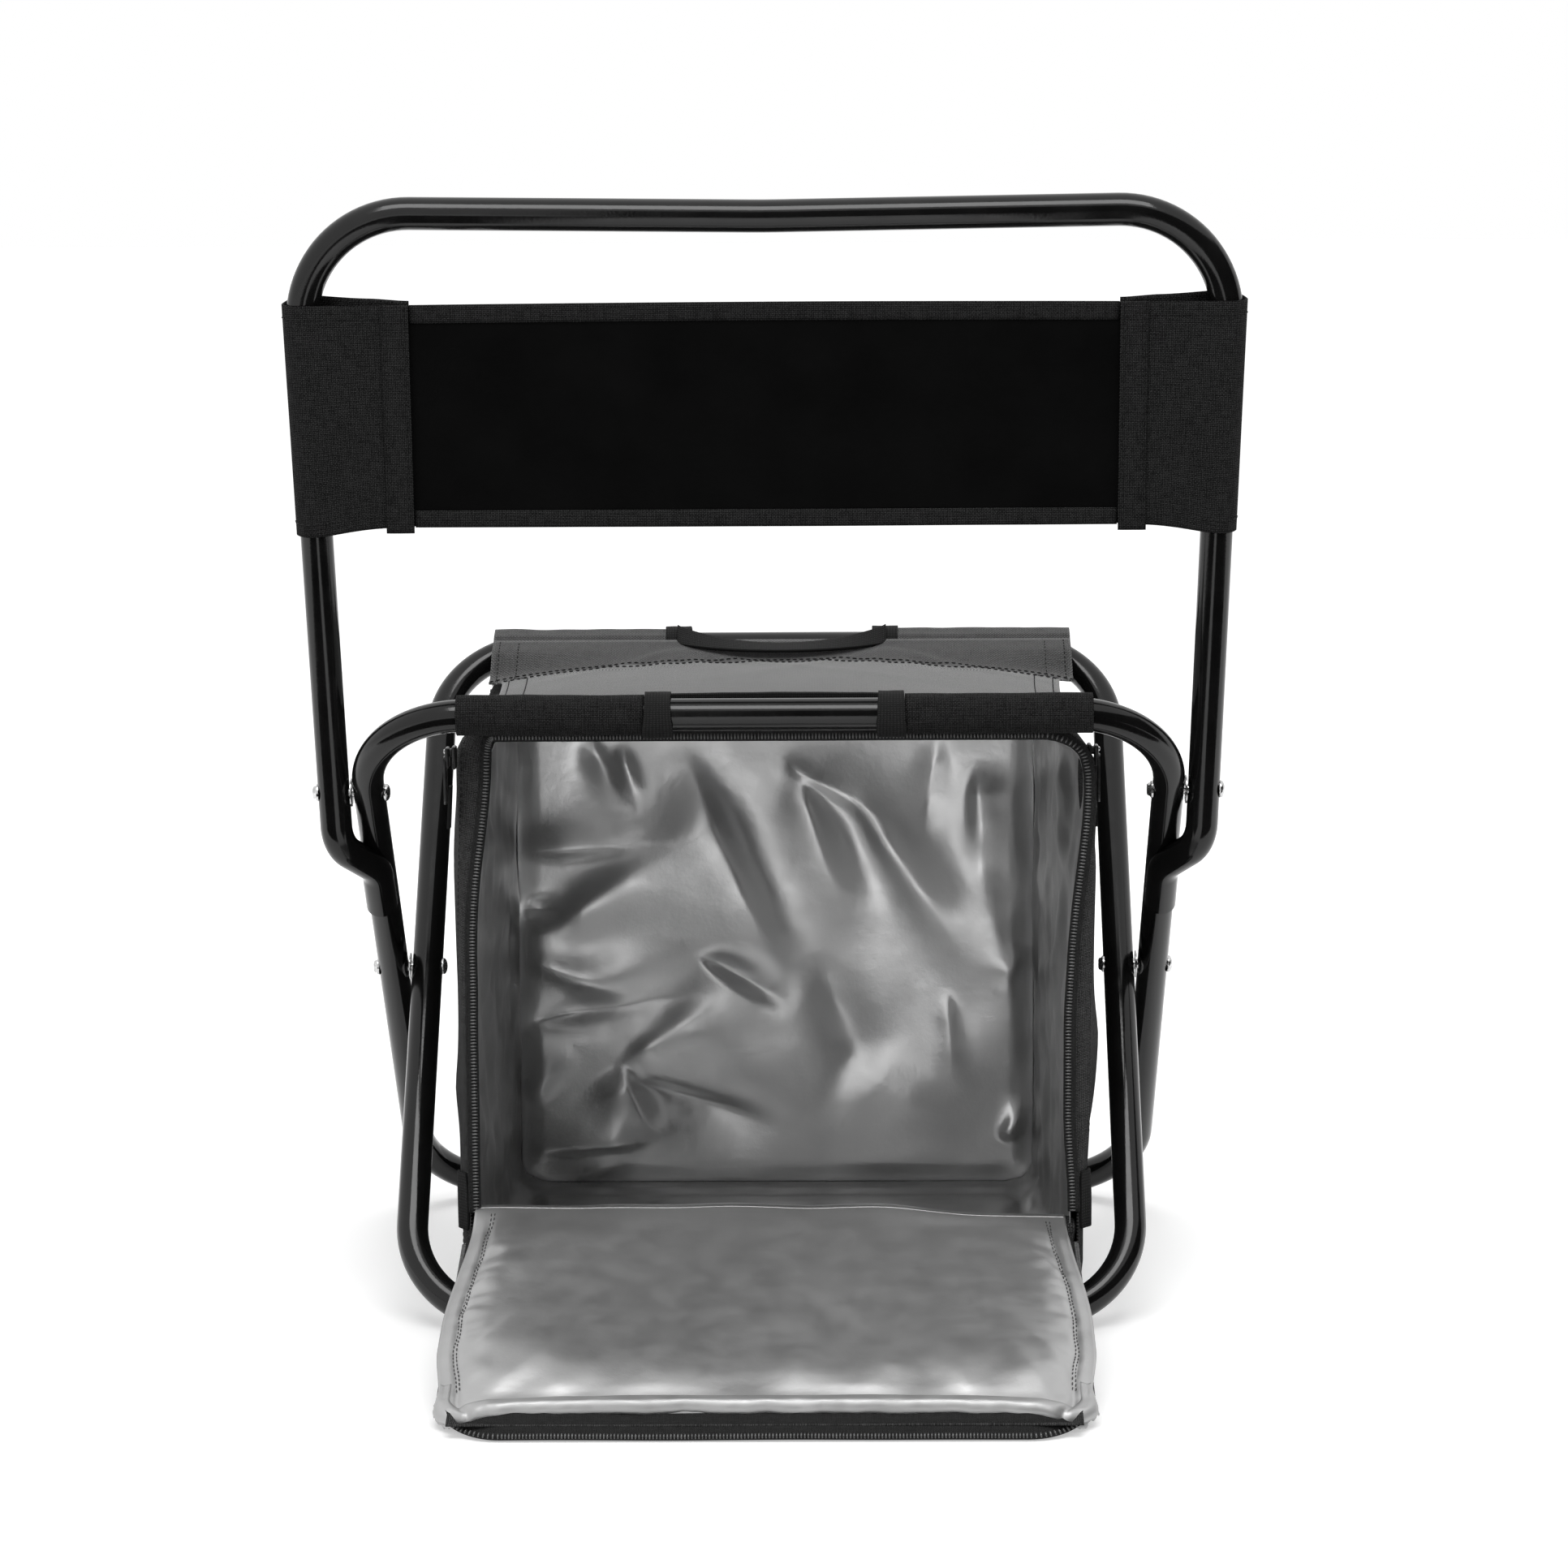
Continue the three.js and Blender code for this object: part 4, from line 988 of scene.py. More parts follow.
def bagShell():
    rim = rimLength(bag["half"], bag["low"], bag["high"], bag["corner"])
    bm = clothGrid(180, 48, (rim, bag["rear"] - bag["front"]), shellSpot, True)
    half, low, high, corner = bag["half"] - 1.5, bag["low"], bag["high"], bag["corner"]
    middle, edge = (low + high) / 2, bag["rear"] - 0.6

    def backPlace(u, r):  # a domed panel, its rim on the same rounded box
        (x, z), out = boxRim(u, half, low, high, corner)
        x, z = x * r, middle + (z - middle) * r
        dome = 1 - r ** 3
        dent = (1.6 * ripple(x, z, 60, 9) + foldHeight(rearFolds, x, z)) * (1 - r ** 4)
        if r > 0.97 and out[1] > 0:
            z += topDroop(x, bag["rear"]) * out[1]
        return Vector((x, edge + 4.2 * dome + dent, z))

    joinInto(bm, clothGrid(180, 26, (rim, 150), backPlace, True))
    bmesh.ops.remove_doubles(bm, verts=bm.verts, dist=0.05)
    bmesh.ops.recalc_face_normals(bm, faces=bm.faces)
    shell = finishPiece("bag_outer_shell", bm, [shellWeave], "bag")
    thicken(shell, 1.0, -1)
    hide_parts("bag_shell", "foam_left", "foam_right", "foam_floor", "foam_top", "foam_back",
                "foam_lip")
    crumple(shell)
    # piping round the rear edge, then stitches round the mouth and the rear
    corners, cord, loop = 120, 1.5, []
    for k in range(corners):
        x, z = boxRim(k / corners, half + 0.6, low - 0.4, high - 1, corner)[0]
        if z > high - 6:
            z += topDroop(x, bag["rear"])
        loop.append(Vector((x, edge, z)))

    def pipePlace(u, v):
        k = u * corners
        i, t = int(k) % corners, k - int(k)
        p = loop[i].lerp(loop[(i + 1) % corners], t)
        out = Vector((p.x, 0, p.z - middle)).normalized()
        a = v * 2 * pi
        return p + out * cord * cos(a) + Vector((0, 1, 0)) * cord * sin(a)

    piping = clothGrid(240, 10, (rim, 9.4), pipePlace, True)
    bmesh.ops.recalc_face_normals(piping, faces=piping.faces)
    crumple(finishPiece("bag_rear_piping", piping, [shellWeave], "bag"))
    rows = bmesh.new()
    for depth in (0.05, 0.965):
        path = [(k / 60, depth) for k in range(61)]
        sewRow(rows, shellSpot, path, pitch=3.4, length=2.6, thick=0.26, lift=0.15)
    crumple(finishPiece("bag_shell_stitches", rows, [darkThread], "bag"))


bagShell()


# folds of the lining in x and z on the back wall: from, to, reach on the left and on the right of that way,
# and height towards the mouth; a fold is pinched at its start and fades at its end
backFolds = [((-50, 256), (4, 124), 15, 46, 9.0), ((9, 256), (37, 164), 15, 24, 7.5),
             ((44, 234), (108, 140), 22, 15, 7.0), ((4, 254), (68, 218), 24, 8, 5.0),
             ((111, 250), (114, 192), 26, 9, 7.0), ((113, 198), (137, 84), 16, 34, 6.0),
             ((90, 268), (80, 208), 10, 14, -3.0), ((-145, 147), (-36, 216), 14, 26, 7.0),
             ((-145, 202), (-44, 212), 22, 9, 5.0), ((-144, 171), (-112, 169), 8, 8, -6.5),
             ((-145, 146), (-70, 118), 22, 12, 5.5), ((-140, 107), (-34, 124), 20, 11, -6.5),
             ((-42, 145), (4, 119), 14, 6, -6.0), ((-87, 82), (-68, 38), 9, 34, 8.0),
             ((-84, 74), (4, 46), 9, 24, -7.0), ((-88, 82), (-26, 122), 10, 32, 5.0),
             ((-70, 41), (-142, 35), 7, 20, 6.0), ((-120, 14), (-84, 27), 7, 9, 5.0),
             ((124, 40), (141, 60), 7, 9, 6.0), ((40, 84), (98, 44), 34, 40, 6.0),
             ((22, 142), (64, 52), 22, 24, -4.5), ((94, 124), (97, 72), 8, 11, 3.0),
             ((-104, 268), (-80, 226), 9, 13, -4.0), ((-84, 262), (-76, 228), 7, 12, 3.5),
             ((-143, 60), (-118, 88), 12, 9, 4.5), ((141, 150), (124, 128), 8, 12, 4.0)]


inside = {"half": 146.0, "low": 15.5, "high": 299.0, "corner": 15.0, "front": -33.0, "rear": 194.0,
          "backHalf": 141.5, "film": 0.5}


def liningTunnel():
    def place(u, v):
        taper = inside["half"] + (inside["backHalf"] - inside["half"]) * ease(0.1, 1, v)
        (x, z), (nx, nz) = boxRim(u, taper, inside["low"], inside["high"], inside["corner"])
        y = inside["front"] + (inside["rear"] - inside["front"]) * v
        loose = ease(0.0, 0.16, v) * (1 - 0.5 * ease(0.85, 1, v))
        inward = (3.2 * ripple(y * 1.6, z * 0.7, 40, nx * 3) + 1.8 * ripple(y, z, 17, nx * 5 + 1)) * loose
        inward -= 1.8 * loose * abs(nx)
        hem = 1.1 * exp(-((y - inside["front"] - 5) / 4) ** 2)
        lean = mouthLean(x, z) * abs(nx) * (1 - ease(0, 70, y - inside["front"]))
        x, z = x - nx * (inward - hem) + lean, z - nz * (inward - hem)
        if nz > 0:
            z += topDroop(x, y) * nz
        return Vector((x, y, z))

    rim = rimLength(inside["half"], inside["low"], inside["high"], inside["corner"])
    deep = inside["rear"] - inside["front"]
    walls = finishPiece("bag_lining_walls", clothGrid(240, 84, (rim, deep), place, True, True), [wallFilmPaintedShade],
                        "bag")
    thicken(walls, inside["film"])
    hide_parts("bag_lining")
    crumple(walls)


def liningBack():
    half, low, high = inside["backHalf"] + 1.5, inside["low"] - 1, inside["high"] + 0.5
    wide, tall = 2 * half, high - low

    def place(u, v):
        x, z = -half + wide * u, low + tall * v
        free = ease(0, 0.05, u) * ease(0, 0.05, 1 - u) * ease(0, 0.05, v) * ease(0, 0.03, 1 - v)
        slack = 3.0 + 2.0 * ripple(x, z, 80, 11) + 0.4 * ripple(x, z, 26, 14)
        push = (slack + foldHeight(backFolds, x, z)) * free
        return Vector((x, inside["rear"] + 1.0 - push, z + topDroop(x, inside["rear"]) * v))

    # the back wall takes the film's lighter copy: painted light
    panel = finishPiece("bag_lining_back", clothGrid(200, 200, (wide, tall), place), [lining], "bag")
    thicken(panel, inside["film"])
    crumple(panel)


liningTunnel()
liningBack()


def lipSink(x):  # the film's rear edge sinks towards the right
    return -6.0 * ease(30, 140, x) + 1.2 * ripple(x, 0, 40, 9)


# front lip: the fixed strip below the mouth that the flap hangs from
def frontLip():
    half, tall, deep = bag["half"], bag["lip"] - bag["low"], bag["lipDeep"]

    def lipWidth(z):
        low = bag["low"] + bag["corner"]
        if z >= low:
            return half
        return half - bag["corner"] + (max(0, bag["corner"] ** 2 - (low - z) ** 2)) ** 0.5

    def place(u, v):  # up the outside, over the top and down the inside
        run = v * 2
        z = bag["low"] + tall * (run if run < 1 else 2 - run)
        out = ease(0.86, 1.0, run) if run < 1 else 1 - ease(0, 0.14, run - 1)
        y = bag["front"] + (0.0 if run < 1 else deep)
        y += deep / 2 * out * (1 if run < 1 else -1)
        x = (2 * u - 1) * (lipWidth(z) - (4.4 if run < 1 else 7.5)) + 2.0 * ease(30, 60, z)
        bow = 1 - (2 * u - 1) ** 2
        y -= (1.6 * bow if run < 1 else -1.2 * bow) + 0.6 * ripple(x, z, 40, 6)
        return Vector((x, y, z + 0.4 * bow * out + lipSink(x) * ease(34, 60, z)))

    lip = clothGrid(120, 60, (2 * half, 2 * tall), place)
    flat = lip.loops.layers.uv["cloth"]
    for face in lip.faces:  # the film laps over the top edge
        inFilm = abs(face.calc_center_median().x) < bag["lipFilmHalf"]
        face.material_index = 1 if inFilm and face.loops[0][flat].uv.y > 0.86 * tall else 0
    piece = finishPiece("bag_front_lip", lip, [shellWeave, lining], "bag")
    thicken(piece, 0.8)
    crumple(piece)


frontLip()
print("bag and lining made")


# zip round the mouth: tape, coil, sliders, pulls and end tabs
zipper = {"outer": 151.2, "wide": 6.0, "front": -35.0, "foot": 58.0, "high": 303.6, "corner": 16.0,
          "pitch": 1.65, "thick": 0.9}


def mouthRim(t, inset, low):  # from the left foot up over the top to the right foot
    half, high, corner = zipper["outer"] - inset, zipper["high"] - inset, max(4, zipper["corner"] - inset)
    side, top, turn = high - corner - low, 2 * (half - corner), corner * pi / 2
    due = t * (2 * side + top + 2 * turn)
    if due <= side:
        return (-half, low + due), (-1, 0)
    due -= side
    if due <= turn:
        a = pi - due / corner
        return (-half + corner + corner * cos(a), high - corner + corner * sin(a)), (cos(a), sin(a))
    due -= turn
    if due <= top:
        return (-half + corner + due, high), (0, 1)
    due -= top
    if due <= turn:
        a = pi / 2 - due / corner
        return (half - corner + corner * cos(a), high - corner + corner * sin(a)), (cos(a), sin(a))
    due -= turn
    return (half, high - corner - due), (1, 0)


def zipSpot(t, inset, forward=0.0):
    (x, z), (nx, nz) = mouthRim(t, inset, zipper["foot"])
    y = zipper["front"] + 0.7 * ripple(x, z, 36, 2) - forward
    drop = topDroop(x, bag["front"]) * max(0, nz)
    return Vector((x + mouthLean(x, z) * abs(nx), y, z + drop)), Vector((nx, 0, nz))


def bagZip():
    def place(u, v):
        spot = zipSpot(u, zipper["wide"] * v)[0]
        spot.y -= 0.6 * sin(pi * v)
        return spot

    inner = [zipSpot(k / 200, zipper["wide"])[0] for k in range(201)]
    run = sum((b - a).length for a, b in zip(inner, inner[1:]))
    tape = finishPiece("bag_zip_tape_strip", clothGrid(300, 8, (run, zipper["wide"]), place, flip=True),
                       [zipTapeWeave], "bag")
    thicken(tape, zipper["thick"])
    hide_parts("bag_zip_tape")
    crumple(tape)
    coil = zipTeeth(lambda t: zipSpot(t, zipper["wide"] * 0.62, 1.3), int(run / zipper["pitch"]),
                    (1.75, 0.6, 0.8))
    crumple(finishPiece("bag_zip_coil", coil, [coilPlastic], "bag"))
    rows = bmesh.new()
    path = [(k / 80, 0.1) for k in range(81)]
    sewRow(rows, place, path, pitch=3.0, length=2.3, thick=0.3, lift=0.5, side=-1)
    crumple(finishPiece("bag_zip_stitches", rows, [darkThread], "bag"))


bagZip()


def roundedBlock(bm, size, centre, bevel):
    made = bmesh.ops.create_cube(bm, size=1.0)["verts"]
    bmesh.ops.scale(bm, vec=size, verts=made)
    edges = list({e for v in made for e in v.link_edges})
    bevelled = bmesh.ops.bevel(bm, geom=edges, offset=bevel, offset_type="OFFSET", affect="EDGES",
                               segments=3, profile=0.5, material=-1)
    points = list({v for f in bevelled["faces"] for v in f.verts} | {v for v in made if v.is_valid})
    bmesh.ops.translate(bm, verts=points, vec=centre)


pulls = {"out": {"left": 157.0, "right": 161.0}, "mid": -26.5, "slider": 288.0, "pullLow": 264.5,
         "tailLow": 252.5, "tabWide": 7.4, "tailWide": 6.4, "endLow": 48.5, "endTall": 29.0, "endWide": 12.5,
         "endMid": -28.0}


def zipSlider(word, side):
    out, mid, level = pulls["out"][word], pulls["mid"], pulls["slider"]
    body = bmesh.new()
    roundedBlock(body, (2.2, 8.6, 11.4), (side * (out - 1.7), mid, level), 1.0)
    roundedBlock(body, (2.2, 7.6, 10.2), (side * (out + 1.7), mid, level), 1.0)
    roundedBlock(body, (2.4, 3.0, 4.0), (side * out, mid, level + 2.4), 0.8)
    slider = finishPiece("zip_slider_body_" + word, body, [gunmetal], "slider_" + word)
    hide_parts("zip_slider_" + word)
    bm = bmesh.new()
    for lift in (-2.6, 3.0):  # two bright studs of the pull's bridge
        joinInto(bm, turnedPart([(0, 0), (1.25, 0), (1.25, 0.5), (0.9, 0.95), (0, 1.1)],
                                (side * (out + 2.6), mid, level + lift), (side, 0, 0), 12))
    studs = finishPiece("zip_slider_studs_" + word, bm, [steel], "slider_" + word,
                        sharp=50)
    crumple(slider)
    crumple(studs)


def zipPull(word, side):
    out, mid, low, high = pulls["out"][word], pulls["mid"], pulls["pullLow"], pulls["slider"] + 0.6
    tab = bmesh.new()
    bmesh.ops.create_grid(tab, x_segments=1, y_segments=1, size=0.5)
    bmesh.ops.scale(tab, vec=(pulls["tabWide"], high - low, 1), verts=tab.verts)
    bmesh.ops.bevel(tab, geom=tab.verts[:], offset=2.6, affect="VERTICES", segments=4, profile=0.5,
                    material=-1)
    bmesh.ops.inset_region(tab, faces=tab.faces[:], thickness=1.6, depth=-0.5, use_even_offset=True)
    bmesh.ops.recalc_face_normals(tab, faces=tab.faces)
    upright = Matrix(((0, 0, side, side * (out + 3.4)), (1, 0, 0, mid), (0, 1, 0, (low + high) / 2),
                      (0, 0, 0, 1)))
    bmesh.ops.transform(tab, matrix=upright, verts=tab.verts)
    pull = finishPiece("zip_pull_tab_" + word, tab, [gunmetal], "pull_" + word, sharp=40)
    thicken(pull, 1.4)
    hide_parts("zip_pull_" + word)

    def tailPlace(u, v):
        z = pulls["tailLow"] + (low + 9 - pulls["tailLow"]) * v
        wide = pulls["tailWide"] + 1.2 * (1 - v)
        return Vector((side * (out + 0.4 + 1.2 * (1 - v)), mid + (u - 0.5) * wide, z))

    tail = finishPiece("zip_pull_tail_strip_" + word, clothGrid(8, 20, (6.5, 21), tailPlace), [webbing],
                       "pull_" + word)
    thicken(tail, 1.7)
    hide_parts("zip_pull_tail_" + word)
    crumple(pull)
    crumple(tail)


def zipEndTab(word, side):
    size = (pulls["endWide"], pulls["endTall"])

    def place(u, v):  # a drop shape, sewn over the zip's foot
        z = pulls["endLow"] + size[1] * v
        wide = size[0] * (0.55 + 0.45 * sin(pi * min(1, 0.2 + v * 0.72)))
        y = pulls["endMid"] + (u - 0.5) * wide
        x = bag["half"] + 1.0 - bag["rollIn"] * zipRoll(y) + 0.5 * sin(pi * u)
        return Vector((side * x + mouthLean(side, z), y, z))

    end = finishPiece("zip_end_tab_strip_" + word, clothGrid(10, 24, size, place), [webbing], "bag")
    thicken(end, 1.5)
    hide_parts("zip_end_tab_" + word)
    crumple(end)


for word, side in bothSides:
    zipSlider(word, side)
    zipPull(word, side)
    zipEndTab(word, side)
print("zip made")


# flap: padded door with a loose silver film on top and its own half of the zip in front
flap = {"hinge": Vector((0, -35.2, 59.6)), "slope": radians(13.72), "length": 196.0, "deep": 10.6,
        "corner": 14.0, "tape": 14.0, "tapeInset": 9.0, "tapeBack": 8.5, "tapeCorner": 22.0,
        "tapeSide": 148.0, "tapeSink": 3.2, "filmEnd": 187.0, "film": 0.6, "overLip": 9.0, "hemSide": 10.0,
        "rawSide": 4.0, "ripples": 420}
flapFolds = [((-132, 184), (-92, 126), 14, 30, 3.0), ((-92, 188), (-106, 136), 24, 18, 2.4),
             ((-46, 128), (-52, 188), 18, 22, 3.0), ((18, 144), (10, 188), 16, 24, 2.6),
             ((64, 150), (40, 188), 20, 18, 2.0), ((98, 186), (70, 116), 20, 14, 2.6),
             ((132, 178), (100, 120), 12, 24, 2.6), ((142, 160), (104, 96), 9, 20, 2.2),
             ((-142, 150), (-104, 92), 16, 8, 2.2), ((-146, 84), (-112, 40), 14, 9, 1.8),
             ((146, 70), (110, 30), 9, 14, 2.0), ((-60, 60), (60, 84), 34, 40, 1.6)]


def flapSpot(x, along, up):
    level, drop = cos(flap["slope"]), sin(flap["slope"])
    return flap["hinge"] + Vector((x, -level * along - drop * up, -drop * along + level * up))


def flapHalf(along):
    grow = 148.0 + 8.0 * ease(0, 110, along) - 4.0 * ease(130, 176, along)
    left = flap["filmEnd"] + 3 - along
    if left < flap["corner"]:
        grow -= flap["corner"] - (max(0, flap["corner"] ** 2 - (flap["corner"] - left) ** 2)) ** 0.5
    return grow


def filmHeight(x, along):
    half = flapHalf(along)
    inEdge = half - abs(x)  # how far in from the side
    side = 1 - ease(0, 15, inEdge)
    frontal = ease(flap["filmEnd"] - 40, flap["filmEnd"], along)
    calm = 1 - ease(flap["filmEnd"] - 12, flap["filmEnd"] - 1, along)  # lies flat at the hem
    up = 3.4 * (1 - (x / half) ** 4) * ease(0, 30, along)
    up += -2.8 * side ** 1.3 * ease(-6, 30, along) - 3.4 * frontal ** 2.2
    up -= 1.6 * exp(-((inEdge - 9) / 1.7) ** 2) * ease(4, 20, along)  # pulled in by the side seam
    up -= 2.6 * (1 - ease(6, 24, inEdge)) * ease(0, 20, along)  # lies below the zip when the flap is shut
    fold = foldHeight(flapFolds, x, along) * (1 - 0.7 * side)
    pucker = 1.6 * ripple(x * 0.5, along, 9, 5) * exp(-((inEdge - 15) / 8) ** 2) * ease(20, 60, along)
    loose = 1.5 * ripple(x, along, 52, 1) + 0.7 * ripple(x, along, 21, 2) * (0.3 + 0.7 * max(side, frontal))
    settled = ease(0, 24, along) * (1 - 0.8 * ease(0, 9, 9 - inEdge))
    return up + ((fold + loose) * settled + pucker) * (0.12 + 0.88 * calm)


def flapTop(u, v):
    along = -flap["overLip"] + (flap["filmEnd"] + flap["overLip"]) * v
    ahead = max(0.0, along)
    x = (2 * u - 1) * flapHalf(ahead)
    behind = max(0.0, -along) / flap["overLip"]
    roll = 0.5 * (1 - ease(0, 40, ahead)) - 2.0 * behind ** 2.5 - 3.6 * behind ** 3
    return flapSpot(x, along, filmHeight(x, ahead) + roll + lipSink(x) * (1 - ease(0, 26, ahead)))


def flapBottom(u, v):
    along = flap["length"] * v
    across = 2 * u - 1
    x = across * (min(flapHalf(min(along, flap["filmEnd"] - 2)), 154) - 2.0)
    rim = max(ease(0.93, 1.0, abs(across)), ease(flap["length"] - 10, flap["length"], along))
    return flapSpot(x, along, -flap["deep"] + 4.0 * rim ** 2 + 0.35 * ripple(x, along, 36, 4))


# round the front of the flap, from the left side over both corners to the right side
def flapRim(t, reach, front, corner, sideRun):
    turn, straight, inner, start = corner * pi / 2, 2 * (reach - corner), reach - corner, front - corner
    due = t * (2 * sideRun + 2 * turn + straight)
    if due < sideRun:
        return Vector((-reach, start - sideRun + due, 0)), Vector((-1, 0, 0))
    due -= sideRun
    if due < turn:
        out = Vector((-cos(due / corner), sin(due / corner), 0))
        return Vector((-inner, start, 0)) + out * corner, out
    due -= turn
    if due < straight:
        return Vector((-inner + due, front, 0)), Vector((0, 1, 0))
    due -= straight
    if due < turn:
        out = Vector((sin(due / corner), cos(due / corner), 0))
        return Vector((inner, start, 0)) + out * corner, out
    return Vector((reach, start - (due - turn), 0)), Vector((1, 0, 0))


def coolerFlap():
    wide, reach, around = 2 * flapHalf(90), flapHalf(165), flap["ripples"]
    start = flap["overLip"] / (flap["filmEnd"] + flap["overLip"])

    def filmSpot(u, v):
        return flapTop(u, start + (1 - start) * v)

    def overLipSpot(u, v):
        return flapTop(u, start * v)

    film = finishPiece("flap_film", clothGrid(240, 172, (wide, flap["filmEnd"]), filmSpot, flip=True),
                       [flapFilm], "flap")
    thicken(film, flap["film"])
    strip = clothGrid(240, 8, (wide, flap["overLip"]), overLipSpot, flip=True)
    overLip = finishPiece("lip_film_strip", strip, [wallFilmPaintedShade], "bag")
    thicken(overLip, flap["film"])
    crumple(overLip)
    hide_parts("flap_lining", "flap_foam")
    base = finishPiece("flap_outer_cloth", clothGrid(120, 90, (wide, flap["length"]), flapBottom),
                       [shellWeave], "flap")
    thicken(base, 1.0)
    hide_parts("flap_shell")

    # bound hem of the film: a smooth roll with a ragged raw edge below it
    def hemLine(u, sideRun):
        return flapRim(u, reach - 1.0, flap["filmEnd"] + 0.5, flap["corner"], sideRun)

    def hemSpot(u, v):
        spot, out = hemLine(u, flap["hemSide"])
        firm = ease(0, 0.05, u) * ease(0, 0.05, 1 - u)
        gather = 1.0 * ripple(u * around, v * 2, 4.5, 2) * (1 - ease(0.06, 0.17, min(u, 1 - u))) * firm
        wave = 1.1 * ripple(u * around, 0, 30, 5) + 0.5 * ripple(u * around, 0, 9, 6)
        if v < 0.4:
            foot = spot + out * (-5.0 + 12.5 * v)
            rise = 0.45 + 1.1 * sin(pi * v / 0.8) * firm + gather * v
            return flapSpot(foot.x, foot.y, filmHeight(foot.x, foot.y) + rise)
        roll = (v - 0.4) / 0.6
        foot = spot + out * (2.6 * sin(roll * 2.0) + wave) * (0.3 + 0.7 * firm)
        top = filmHeight(spot.x, spot.y) + 1.55
        sag = 5.4 * roll ** 1.2 - gather * 0.6 - 0.9 * ripple(u * around, 3, 17, 8) * firm
        return flapSpot(foot.x, foot.y, top - sag)

    def raggedSpot(u, v):
        spot, out = hemLine(u, flap["rawSide"])
        torn = 0.9 + 0.6 * ripple(u * around, 0, 5, 12) + 0.6 * ripple(u * around, 0, 2.2, 13)
        foot = spot + out * (1.6 + 1.3 * v * torn)
        return flapSpot(foot.x, foot.y, filmHeight(spot.x, spot.y) - 2.9 - 2.4 * v * torn)

    run = 2 * reach + 30
    hem = finishPiece("flap_film_hem", clothGrid(420, 10, (run, 9), hemSpot), [hemFilm], "flap")
    ragged = finishPiece("flap_film_raw_edge", clothGrid(420, 3, (run, 3), raggedSpot), [hemFilm], "flap")
    thicken(hem, 0.7)
    thicken(ragged, 0.6)

    def tapeSpot(u, v):
        spot, out = flapRim(u, reach - flap["tapeInset"], flap["length"] - flap["tapeBack"],
                            flap["tapeCorner"], flap["tapeSide"])
        push = flap["tape"] * v ** 0.9
        aside = abs(out.x)  # along the sides the tape lies deeper, under the film
        sink = flap["tapeSink"] + 4.4 * aside + (7.8 - 4.6 * aside) * v ** 1.1
        sink -= 0.4 * ripple(u * around, 0, 40, 3) * (1 - aside)
        return flapSpot(spot.x + out.x * push * 0.7, spot.y + out.y * push, -sink)

    def toothSpot(t):
        edge = tapeSpot(t, 0.9)
        return edge + Vector((0, -0.5, 0.5)), tapeSpot(t, 1.0) - edge

    run = 2 * (reach + flap["tapeSide"] + 10)
    tape = finishPiece("flap_zip_tape_strip", clothGrid(420, 8, (run, flap["tape"] + 5), tapeSpot),
                       [zipTapeWeave], "flap")
    thicken(tape, zipper["thick"])
    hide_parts("flap_zip_tape")
    coil = zipTeeth(toothSpot, int(run / zipper["pitch"]), (1.6, 0.6, 0.8))
    teeth = finishPiece("flap_zip_coil", coil, [coilPlastic], "flap")

    rows = bmesh.new()
    for inset in (8.4, 10.2):
        for side in (-1, 1):
            path = []
            for k in range(11):
                v = 0.07 + 0.085 * k
                path.append((0.5 + 0.5 * side * (1 - inset / flapHalf(flap["filmEnd"] * v)), v))
            sewRow(rows, flapTop, path, pitch=3.4, lift=0.5, side=-1, drift=1.2)
    stitches = finishPiece("flap_stitches", rows, [filmThread], "flap")
    for soft in (film, base, hem, ragged, tape, teeth, stitches):
        crumple(soft)


coolerFlap()
print("flap made")


# floor, lamps and white surroundings
stage = {"floor": 0.72, "glowNear": 0.42, "glowFar": 0.78, "sky": 0.42, "size": 20.0, "flagNear": -0.27,
         "flagLift": 0.003, "flagDeep": -2.3}


def stagePiece(name, bm, finish):
    mesh = bpy.data.meshes.new(name)
    bm.to_mesh(mesh)
    bm.free()
    mesh.materials.append(finish)
    piece = bpy.data.objects.new(name, mesh)
    scene.collection.objects.link(piece)
    return piece


def paleFloor():
    finish, tree, shader = newFinish("paleFloor", 0.85, specular=0.1)
    spots = objectSpots(tree)
    feed(tree, shader, "Base Color", noiseField(tree, spots, 3, 2), (0.3, stage["floor"]),
         (0.7, stage["floor"] + 0.02))
    paths = addNode(tree, "ShaderNodeLightPath")
    seen = combine(tree, "MAXIMUM", paths.outputs["Is Camera Ray"], paths.outputs["Is Glossy Ray"])
    away = addNode(tree, "ShaderNodeVectorMath", operation="LENGTH")
    tree.links.new(spots, away.inputs[0])
    glow = ramp(tree, away.outputs["Value"], [(0.45, stage["glowNear"]), (1.0, stage["glowFar"])])
    shader.inputs["Emission Color"].default_value = (1, 1, 1, 1)
    tree.links.new(combine(tree, "MULTIPLY", seen, glow), shader.inputs["Emission Strength"])
    bm = bmesh.new()
    bmesh.ops.create_grid(bm, x_segments=2, y_segments=2, size=stage["size"])
    stagePiece("floor", bm, finish)


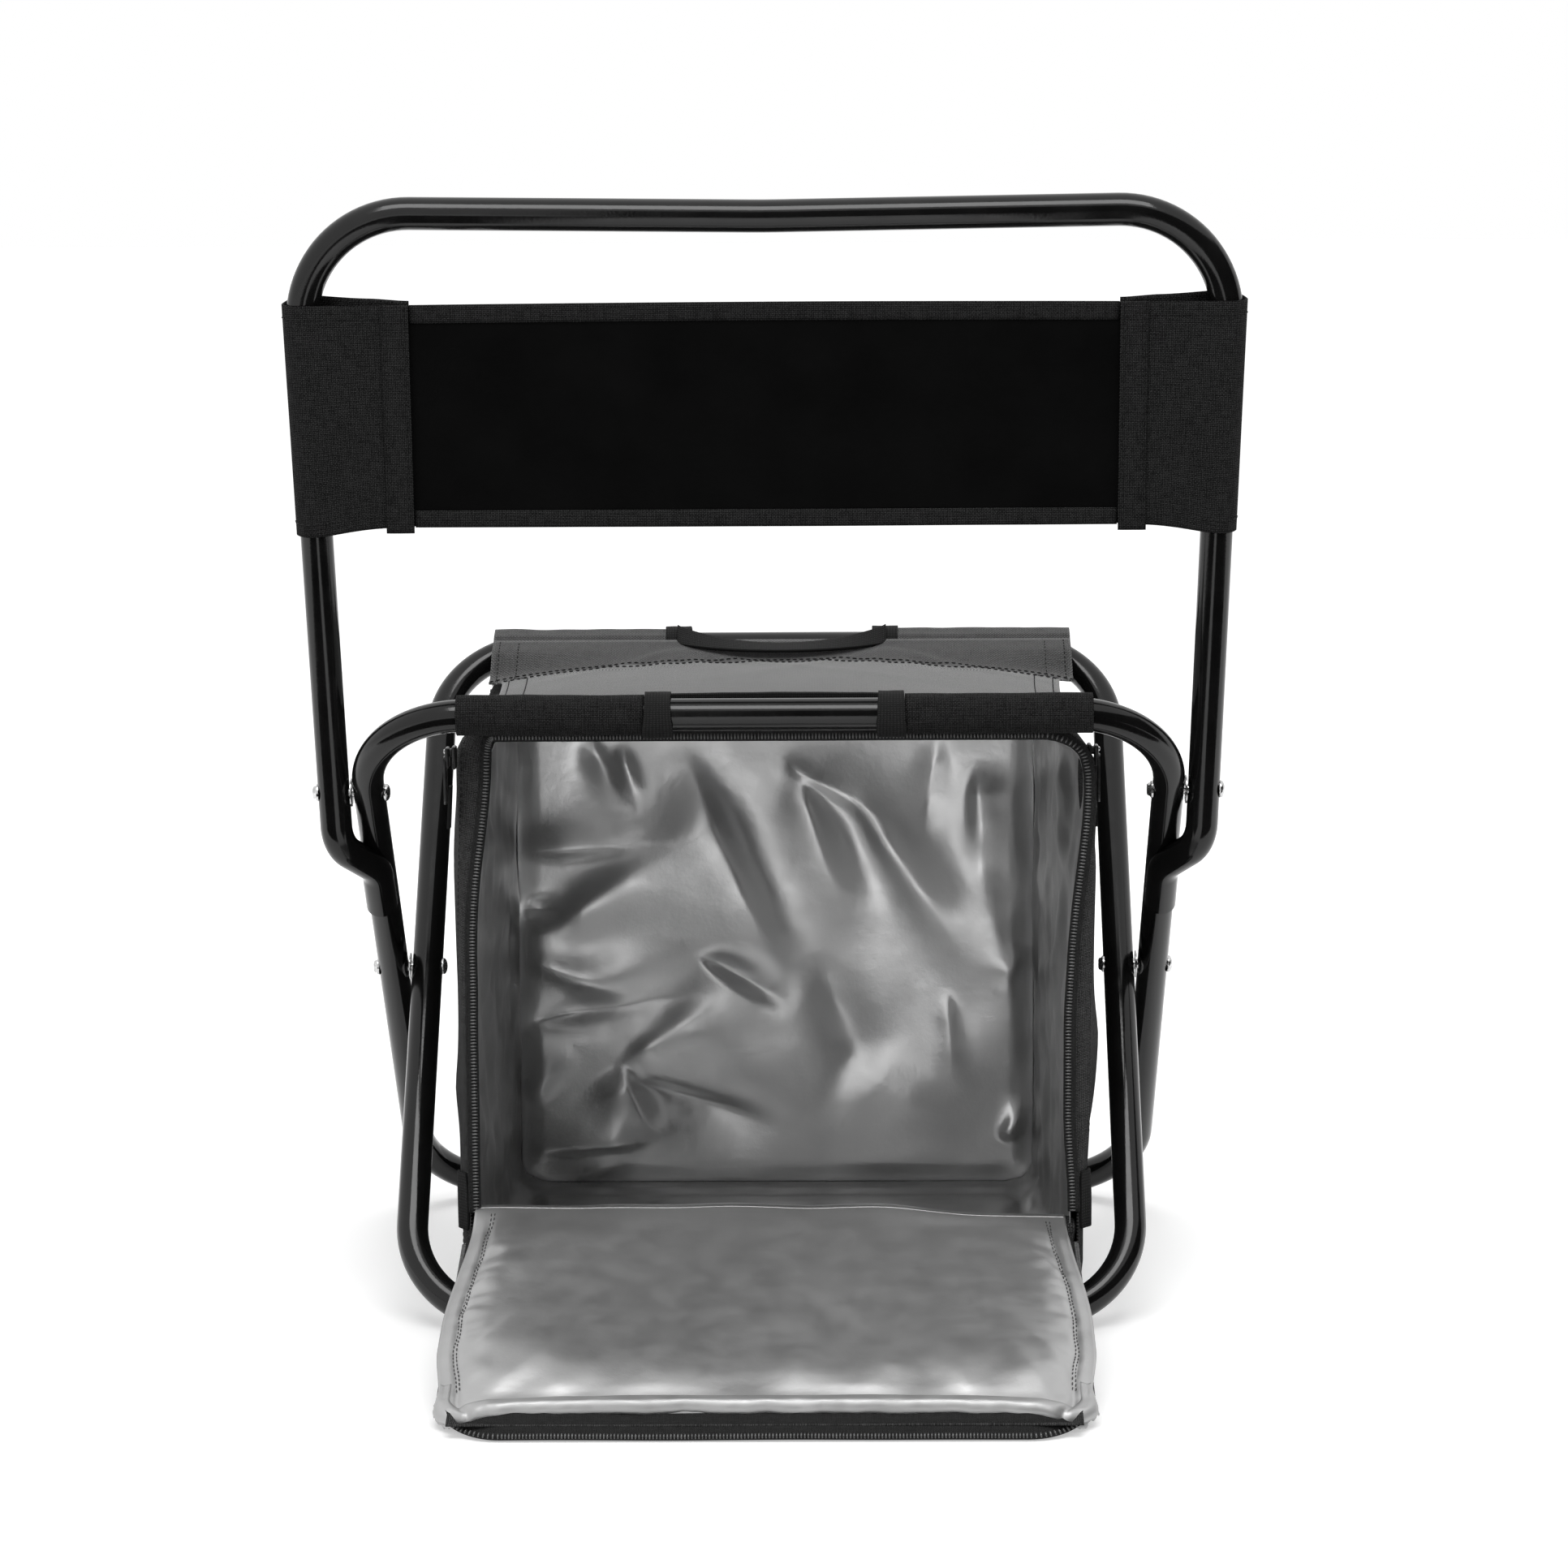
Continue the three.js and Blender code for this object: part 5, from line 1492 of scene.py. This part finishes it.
# dark studio flags that only reflections see: beside the camera and on the floor left and right
def darkFlag(name, start, end, bend=None, rise=None):
    finish, tree, shader = newFinish(name, 0.9, specular=0.0)
    feed(tree, shader, "Base Color", noiseField(tree, objectSpots(tree), 2, 2), (0.3, 0.01), (0.7, 0.014))
    bm = bmesh.new()
    ends = [bm.verts.new(start), bm.verts.new(end)]
    edge = bm.edges.new(ends)
    if bend:
        bmesh.ops.spin(bm, geom=ends + [edge], cent=(0, 0, 0), axis=(0, 0, 1), dvec=(0, 0, 0), angle=bend,
                       steps=24, use_duplicate=False)
    else:
        raised = bmesh.ops.extrude_edge_only(bm, edges=[edge])["geom"]
        bmesh.ops.translate(bm, verts=[g for g in raised if isinstance(g, bmesh.types.BMVert)], vec=rise)
    flag = stagePiece(name, bm, finish)
    flag.visible_camera = flag.visible_diffuse = flag.visible_shadow = flag.visible_transmission = False


def softLamp(name, place, aim, size, power, mirrored=True):
    lamp = bpy.data.lights.new(name, "AREA")
    lamp.shape, lamp.size, lamp.size_y, lamp.energy = "RECTANGLE", size[0], size[1], power
    holder = bpy.data.objects.new(name, lamp)
    holder.visible_glossy = mirrored
    scene.collection.objects.link(holder)
    way = Vector(aim) - Vector(place)
    holder.matrix_world = Matrix.Translation(place) @ way.to_track_quat("-Z", "Y").to_matrix().to_4x4()


def surroundings():
    world = bpy.data.worlds.new("studio")
    scene.world = world
    world.use_nodes = True
    tree = world.node_tree
    light = tree.nodes["Background"]
    light.inputs["Color"].default_value = (1, 1, 1, 1)
    paths = addNode(tree, "ShaderNodeLightPath")
    seen = combine(tree, "MAXIMUM", paths.outputs["Is Camera Ray"], paths.outputs["Is Glossy Ray"])
    seen = combine(tree, "MAXIMUM", seen, paths.outputs["Is Transmission Ray"])
    tree.links.new(blendValues(tree, seen, stage["sky"], 1.0), light.inputs["Strength"])


paleFloor()
softLamp("overhead", (0.1, 0.75, 2.1), (0, 0.05, 0.2), (1.7, 1.3), 20, False)
softLamp("frontTop", (0, -1.0, 2.0), (0, 0, 0.35), (1.6, 0.85), 24)
softLamp("frontLeft", (-1.3, -1.7, 1.3), (0, 0, 0.25), (0.9, 1.2), 5.5, False)
softLamp("right", (1.6, -0.7, 1.2), (0, 0.05, 0.3), (0.6, 1.2), 4.2, False)
darkFlag("cameraFlag", (-0.23, -2.59, 0.0), (-0.23, -2.59, 2.0), bend=radians(105))
for side, reach in ((-1, 1.15), (1, 1.6)):
    darkFlag("floorFlag", (side * 0.17, stage["flagNear"], stage["flagLift"]),
             (side * reach, stage["flagNear"], stage["flagLift"]), rise=(0, stage["flagDeep"], 0))
surroundings()
print("stage lit")
